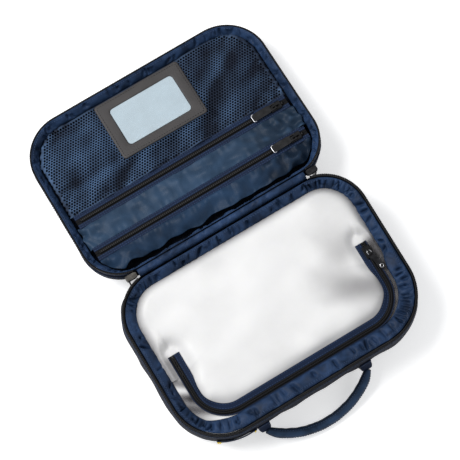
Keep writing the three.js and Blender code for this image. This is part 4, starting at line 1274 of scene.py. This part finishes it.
def mesh_height(x, v):
    """How the mesh hangs: slack folds from the window frame's corners and puckers at the ends."""
    folds = 0.0
    for start, end, width, depth in MESH_FOLDS:
        run_x, run_v = end[0] - start[0], end[1] - start[1]
        from_x, from_v = x - start[0], v - start[1]
        share = np.clip((from_x * run_x + from_v * run_v) / (run_x**2 + run_v**2), 0, 1)
        away = np.hypot(from_x - share * run_x, from_v - share * run_v)
        folds = folds + depth * bell(away, width) * (0.5 + 0.5 * np.sin(math.pi * share))
    slack = waves_over(x, v, MESH_SLACK)
    seam = np.exp(-(v - MESH_FROM_V - 0.1) / 7)
    near_end = np.exp(-(lid_extent(v, 10.5) - np.abs(x)) / 9)
    puckers = (seam + near_end) * 0.7 * field(x, v, 9, 83)
    beyond = np.maximum(
        np.abs(x - FRAME_MIDDLE[0]) - FRAME_SIZE[0] / 2,
        np.abs(v - FRAME_MIDDLE[1]) - FRAME_SIZE[1] / 2,
    )
    return (folds + slack + puckers) * np.clip(beyond / 7, 0, 1) ** 0.7


def mesh_net():
    """The flat net: corners as (x, v) and faces, one ring of six faces round each open hole."""
    side = MESH_PITCH / math.sqrt(3)
    turns = [math.radians(60 * k) for k in range(6)]
    hexagon = [(math.sin(turn) * side, math.cos(turn) * side) for turn in turns]
    known, order, faces = {}, [], []

    def shared(x, v):
        key = (round(x, 3), round(v, 3))
        if key not in known:
            known[key] = len(order)
            order.append((x, v))
        return known[key]

    for row in range(-1, int((MESH_TO_V - MESH_FROM_V) / (1.5 * side)) + 3):
        for column in range(int(MESH_LENGTH / MESH_PITCH) + 3):
            x = MESH_START_X + (column + 0.5 * (row % 2)) * MESH_PITCH
            v = MESH_FROM_V + row * 1.5 * side
            reach = float(lid_extent(min(max(v, MESH_FROM_V), MESH_TO_V), MESH_INSET))
            edge = min(reach - abs(x), v - MESH_FROM_V, MESH_TO_V - v)
            if edge < -MESH_OVERHANG:
                continue
            ring = [shared(x + dx, v + dv) for dx, dv in hexagon]
            if edge < MESH_SOLID_EDGE:
                faces.append(tuple(ring))
                continue
            first = len(order)
            order.extend((x + dx * MESH_HOLE, v + dv * MESH_HOLE) for dx, dv in hexagon)
            for k in range(6):
                n = (k + 1) % 6
                faces.append((ring[k], ring[n], first + n, first + k))
    return np.array(order), faces


def build_mesh_pocket():
    """Warp-knitted mesh with open hexagonal holes, solid only along its sewn edge."""
    plan, faces = mesh_net()
    plan[:, 1] = np.clip(plan[:, 1], MESH_FROM_V, MESH_TO_V)
    reach = lid_extent(plan[:, 1], 9.8) + 0.7 * field(plan[:, 0] * 0.05, plan[:, 1], 9, 85)
    plan[:, 0] = np.clip(plan[:, 0], -reach, reach)
    x, v = plan.T
    level = mesh_height(x, v)
    mesh = add_mesh("mesh_pocket_net", raised(plan, POCKET_W + 0.7 + level), faces, "mesh")
    # Painted light and shade: lighter on the left, darker on the right and along the sewn edges,
    # lighter on fold sides facing smaller x and larger v, with random tone.
    light = 0.60 - 0.30 * smooth_step(x, -60, 60) + 0.12 * field(x, v, 30, 84, stretch=2)
    margin = np.minimum(v - MESH_FROM_V, MESH_TO_V - v)
    margin = np.minimum(margin, lid_extent(v, MESH_INSET) - np.abs(x))
    light -= 0.4 * np.exp(-np.maximum(margin, 0) / 1.6)
    facing = level - mesh_height(x - 3, v + 3)
    set_layer(mesh, "painted_light_and_tone", np.clip(light + 0.22 * facing, 0, 1))
    thicken(mesh, MESH_THICKNESS)
    finish(mesh, "lid", "mesh_fabric", "mesh_pocket")


def rounded_rectangle(length, width, radius):
    """A closed run round a rectangle about its own middle."""
    across, along = length / 2 - radius, width / 2 - radius
    middles = ((across, along), (-across, along), (-across, -along), (across, -along))
    corners = [corner(*middle, radius, 90 * k, 90 * k + 90)[::5] for k, middle in enumerate(middles)]
    return resampled(np.vstack(corners), 1.6, True)


def build_window():
    """The soft-edged leatherette frame of the card window and the stitches round it."""
    outer = rounded_rectangle(*FRAME_SIZE, FRAME_RADIUS)[:, :2]
    inner = rounded_rectangle(*WINDOW_SIZE, WINDOW_RADIUS)[:, :2]
    outer_angle, inner_angle = (np.arctan2(line[:, 1], line[:, 0]) for line in (outer, inner))
    inner = np.stack([
        np.interp(outer_angle, inner_angle, column, period=2 * math.pi) for column in inner.T
    ], 1)
    low, high = FRAME_W
    levels = [(share, high + drop) for share, drop in FRAME_PROFILE]
    rings = []
    for share, level in [(0, low), *levels, (1, low)]:
        plan = outer * (1 - share) + inner * share
        lift = 0.25 * field(plan[:, 0], plan[:, 1], 45, 91) * (low < level)
        rings.append(raised(plan + FRAME_MIDDLE, level + lift))
    border = loft("card_frame", np.swapaxes(np.array(rings), 0, 1), "leather", wrap=True)
    finish(border, "lid", "leatherette", "id_frame")
    edge = closed_run(rounded_rectangle(**FRAME_SEAM))[:, :2]
    rows = [raised(edge + FRAME_MIDDLE, high + 0.12)]
    sewn("card_frame_stitches", "lid", rows, material="frame_thread", pitch=3.0)


# ---------------- hardware and carried-over parts

def paint(node, material, bevel=0.25):
    """A better material and softened edges for a CAD part that keeps its shape."""
    obj = frame["nodes"][node]
    obj.data.materials.clear()
    obj.data.materials.append(MATERIALS[material])
    soft = obj.modifiers.new("edges", "BEVEL")
    soft.width = bevel * MM
    soft.segments = 2
    soft.limit_method = "ANGLE"


def paint_hardware():
    """Finishes for everything that is carried over from the CAD."""
    for prefix in ("lower", "upper"):
        paint(f"{prefix}_zip_slider", "black_metal")
        paint(f"{prefix}_zip_pull", "black_metal")
    paint("pouch_slider", "black_metal")
    paint("pouch_pull", "dark_metal")
    # The main sliders and pulls are alike: painted light on the left one, painted shade on the right.
    for side, material in (("left", "grey_metal"), ("right", "dark_metal")):
        paint(f"main_slider_{side}", material, 0.5)
        paint(f"main_pull_{side}", material)
    paint("id_backing", "backing", 0.1)
    paint("id_window", "window", 0.1)


def wire(name, path, normal, radius, body, closed=False):
    """A bright round wire along a nearly flat path."""
    ahead, behind = np.roll(path, -1, 0), np.roll(path, 1, 0)
    if not closed:
        ahead[-1], behind[0] = path[-1], path[0]
    turns = 2 * math.pi * np.arange(8) / 8
    side = np.cross(unit(ahead - behind), normal)
    finish(tube(name, path, side, normal, radius, turns, "bright_metal", wrap=closed), body)


def node_points(node):
    node = frame["nodes"][node]
    return np.array([node.matrix_world @ vertex.co for vertex in node.data.vertices]) / MM


def squared(values):
    """Cosines or sines pushed outwards, so that a circle becomes a rounded square."""
    return np.sign(values) * np.abs(values) ** 0.5


def pull_lips():
    """A painted glint at the end of each lid pull: a thin bright wire let into its rim."""
    place, flat = np.array(LID_PLACE), np.array(LID_PLACE.inverted())
    angles = np.radians(np.linspace(90, 270, 19))
    across, along = squared(np.cos(angles)), squared(np.sin(angles))
    for prefix in ("lower", "upper"):
        points = node_points(f"{prefix}_zip_pull") @ flat[:3, :3].T + flat[:3, 3] / MM
        end_x, middle, half = points[:, 0].min(), points[:, 1].mean(), np.ptp(points[:, 1]) / 2
        top = points[points[:, 0] < end_x + 2][:, 2].max()
        x = end_x + LIP["inset"] + across * LIP["reach"]
        path = raised(np.column_stack([x, middle + along * half]), top - LIP["depth"])
        path = path @ place[:3, :3].T + place[:3, 3] / MM
        wire(f"{prefix}_pull_lip", path, place[:3, 2], LIP["radius"], f"{prefix}_pull")


def pouch_pull_wires():
    """The bright loop at the root of the pouch pull and the rim of its hole."""
    hinge = joint("pouch_pull_lift")
    pivot, axis = np.array(hinge["pos_m"]) / MM, np.array(hinge["axis"])
    points = node_points("pouch_pull") - pivot
    points -= np.outer(points @ axis, axis)
    along = unit(points[np.linalg.norm(points, axis=1).argmax()])
    normal = np.cross(axis, along)
    normal *= np.sign(normal[2])
    top = (points @ normal).max()
    for name, distance, half_length, half_width, turn, closed in PULL_WIRES:
        angles = np.radians(np.linspace(*turn, 24))[:, None]
        path = (
            pivot + along * (distance + half_length * np.cos(angles))
            + axis * half_width * np.sin(angles) + normal * top
        )
        wire(name, path, normal, PULL_WIRE_RADIUS, "pouch_pull", closed)


# ---------------- studio

def look_back(obj, place, back):
    """Places a camera or a light so that it looks against the direction back."""
    obj.location = place
    obj.rotation_mode = "QUATERNION"
    obj.rotation_quaternion = back.to_track_quat("Z", "Y")
    bpy.context.scene.collection.objects.link(obj)


def build_studio():
    plan = FLOOR_HALF * np.array([(-1, -1), (1, -1), (1, 1), (-1, 1)])
    add_mesh("floor", raised(plan, FLOOR_Z), [(0, 1, 2, 3)], "floor")
    scene = bpy.context.scene
    scene.view_settings.view_transform = "Standard"
    scene.world = bpy.data.worlds.new("studio")
    scene.world.use_nodes = True
    background = scene.world.node_tree.nodes["Background"]
    background.inputs["Color"].default_value = (0.95, 0.97, 1, 1)
    background.inputs["Strength"].default_value = WORLD_STRENGTH
    for name, place, size, power in LIGHTS:
        light = bpy.data.lights.new(name, "AREA")
        light.shape = "RECTANGLE"
        light.size, light.size_y = size
        light.energy = power
        look_back(bpy.data.objects.new(name, light), place, Vector(place) - Vector(VIEW_TARGET))


def build_camera():
    azimuth, elevation = math.radians(VIEW_AZIMUTH), math.radians(VIEW_ELEVATION)
    back = Vector((
        math.sin(azimuth) * math.cos(elevation),
        -math.cos(azimuth) * math.cos(elevation),
        math.sin(elevation),
    ))
    camera = bpy.data.objects.new("camera", bpy.data.cameras.new("camera"))
    camera.data.lens = LENS
    look_back(camera, Vector(VIEW_TARGET) + back * VIEW_DISTANCE, back)
    bpy.context.scene.camera = camera


build_camera()
build_studio()
build_base_shell()
build_main_zip()
build_linings()
build_hinge_strip()
build_pouch_top()
build_pouch_rim()
build_pouch_walls()
build_pouch_zip()
build_handle()
build_label()
build_lid_shell()
pocket_panel("lower_panel_cloth", *LOWER_PANEL_V, 101, "lower_panel", "lower_panel", 2.5)
pocket_zip("lower", LOWER_ZIP_V)
pocket_panel("pocket_band_cloth", *BAND_V, 111, "pocket_band", "panel")
pocket_zip("upper", UPPER_ZIP_V)
build_mesh_pocket()
build_window()
paint_hardware()
pull_lips()
pouch_pull_wires()
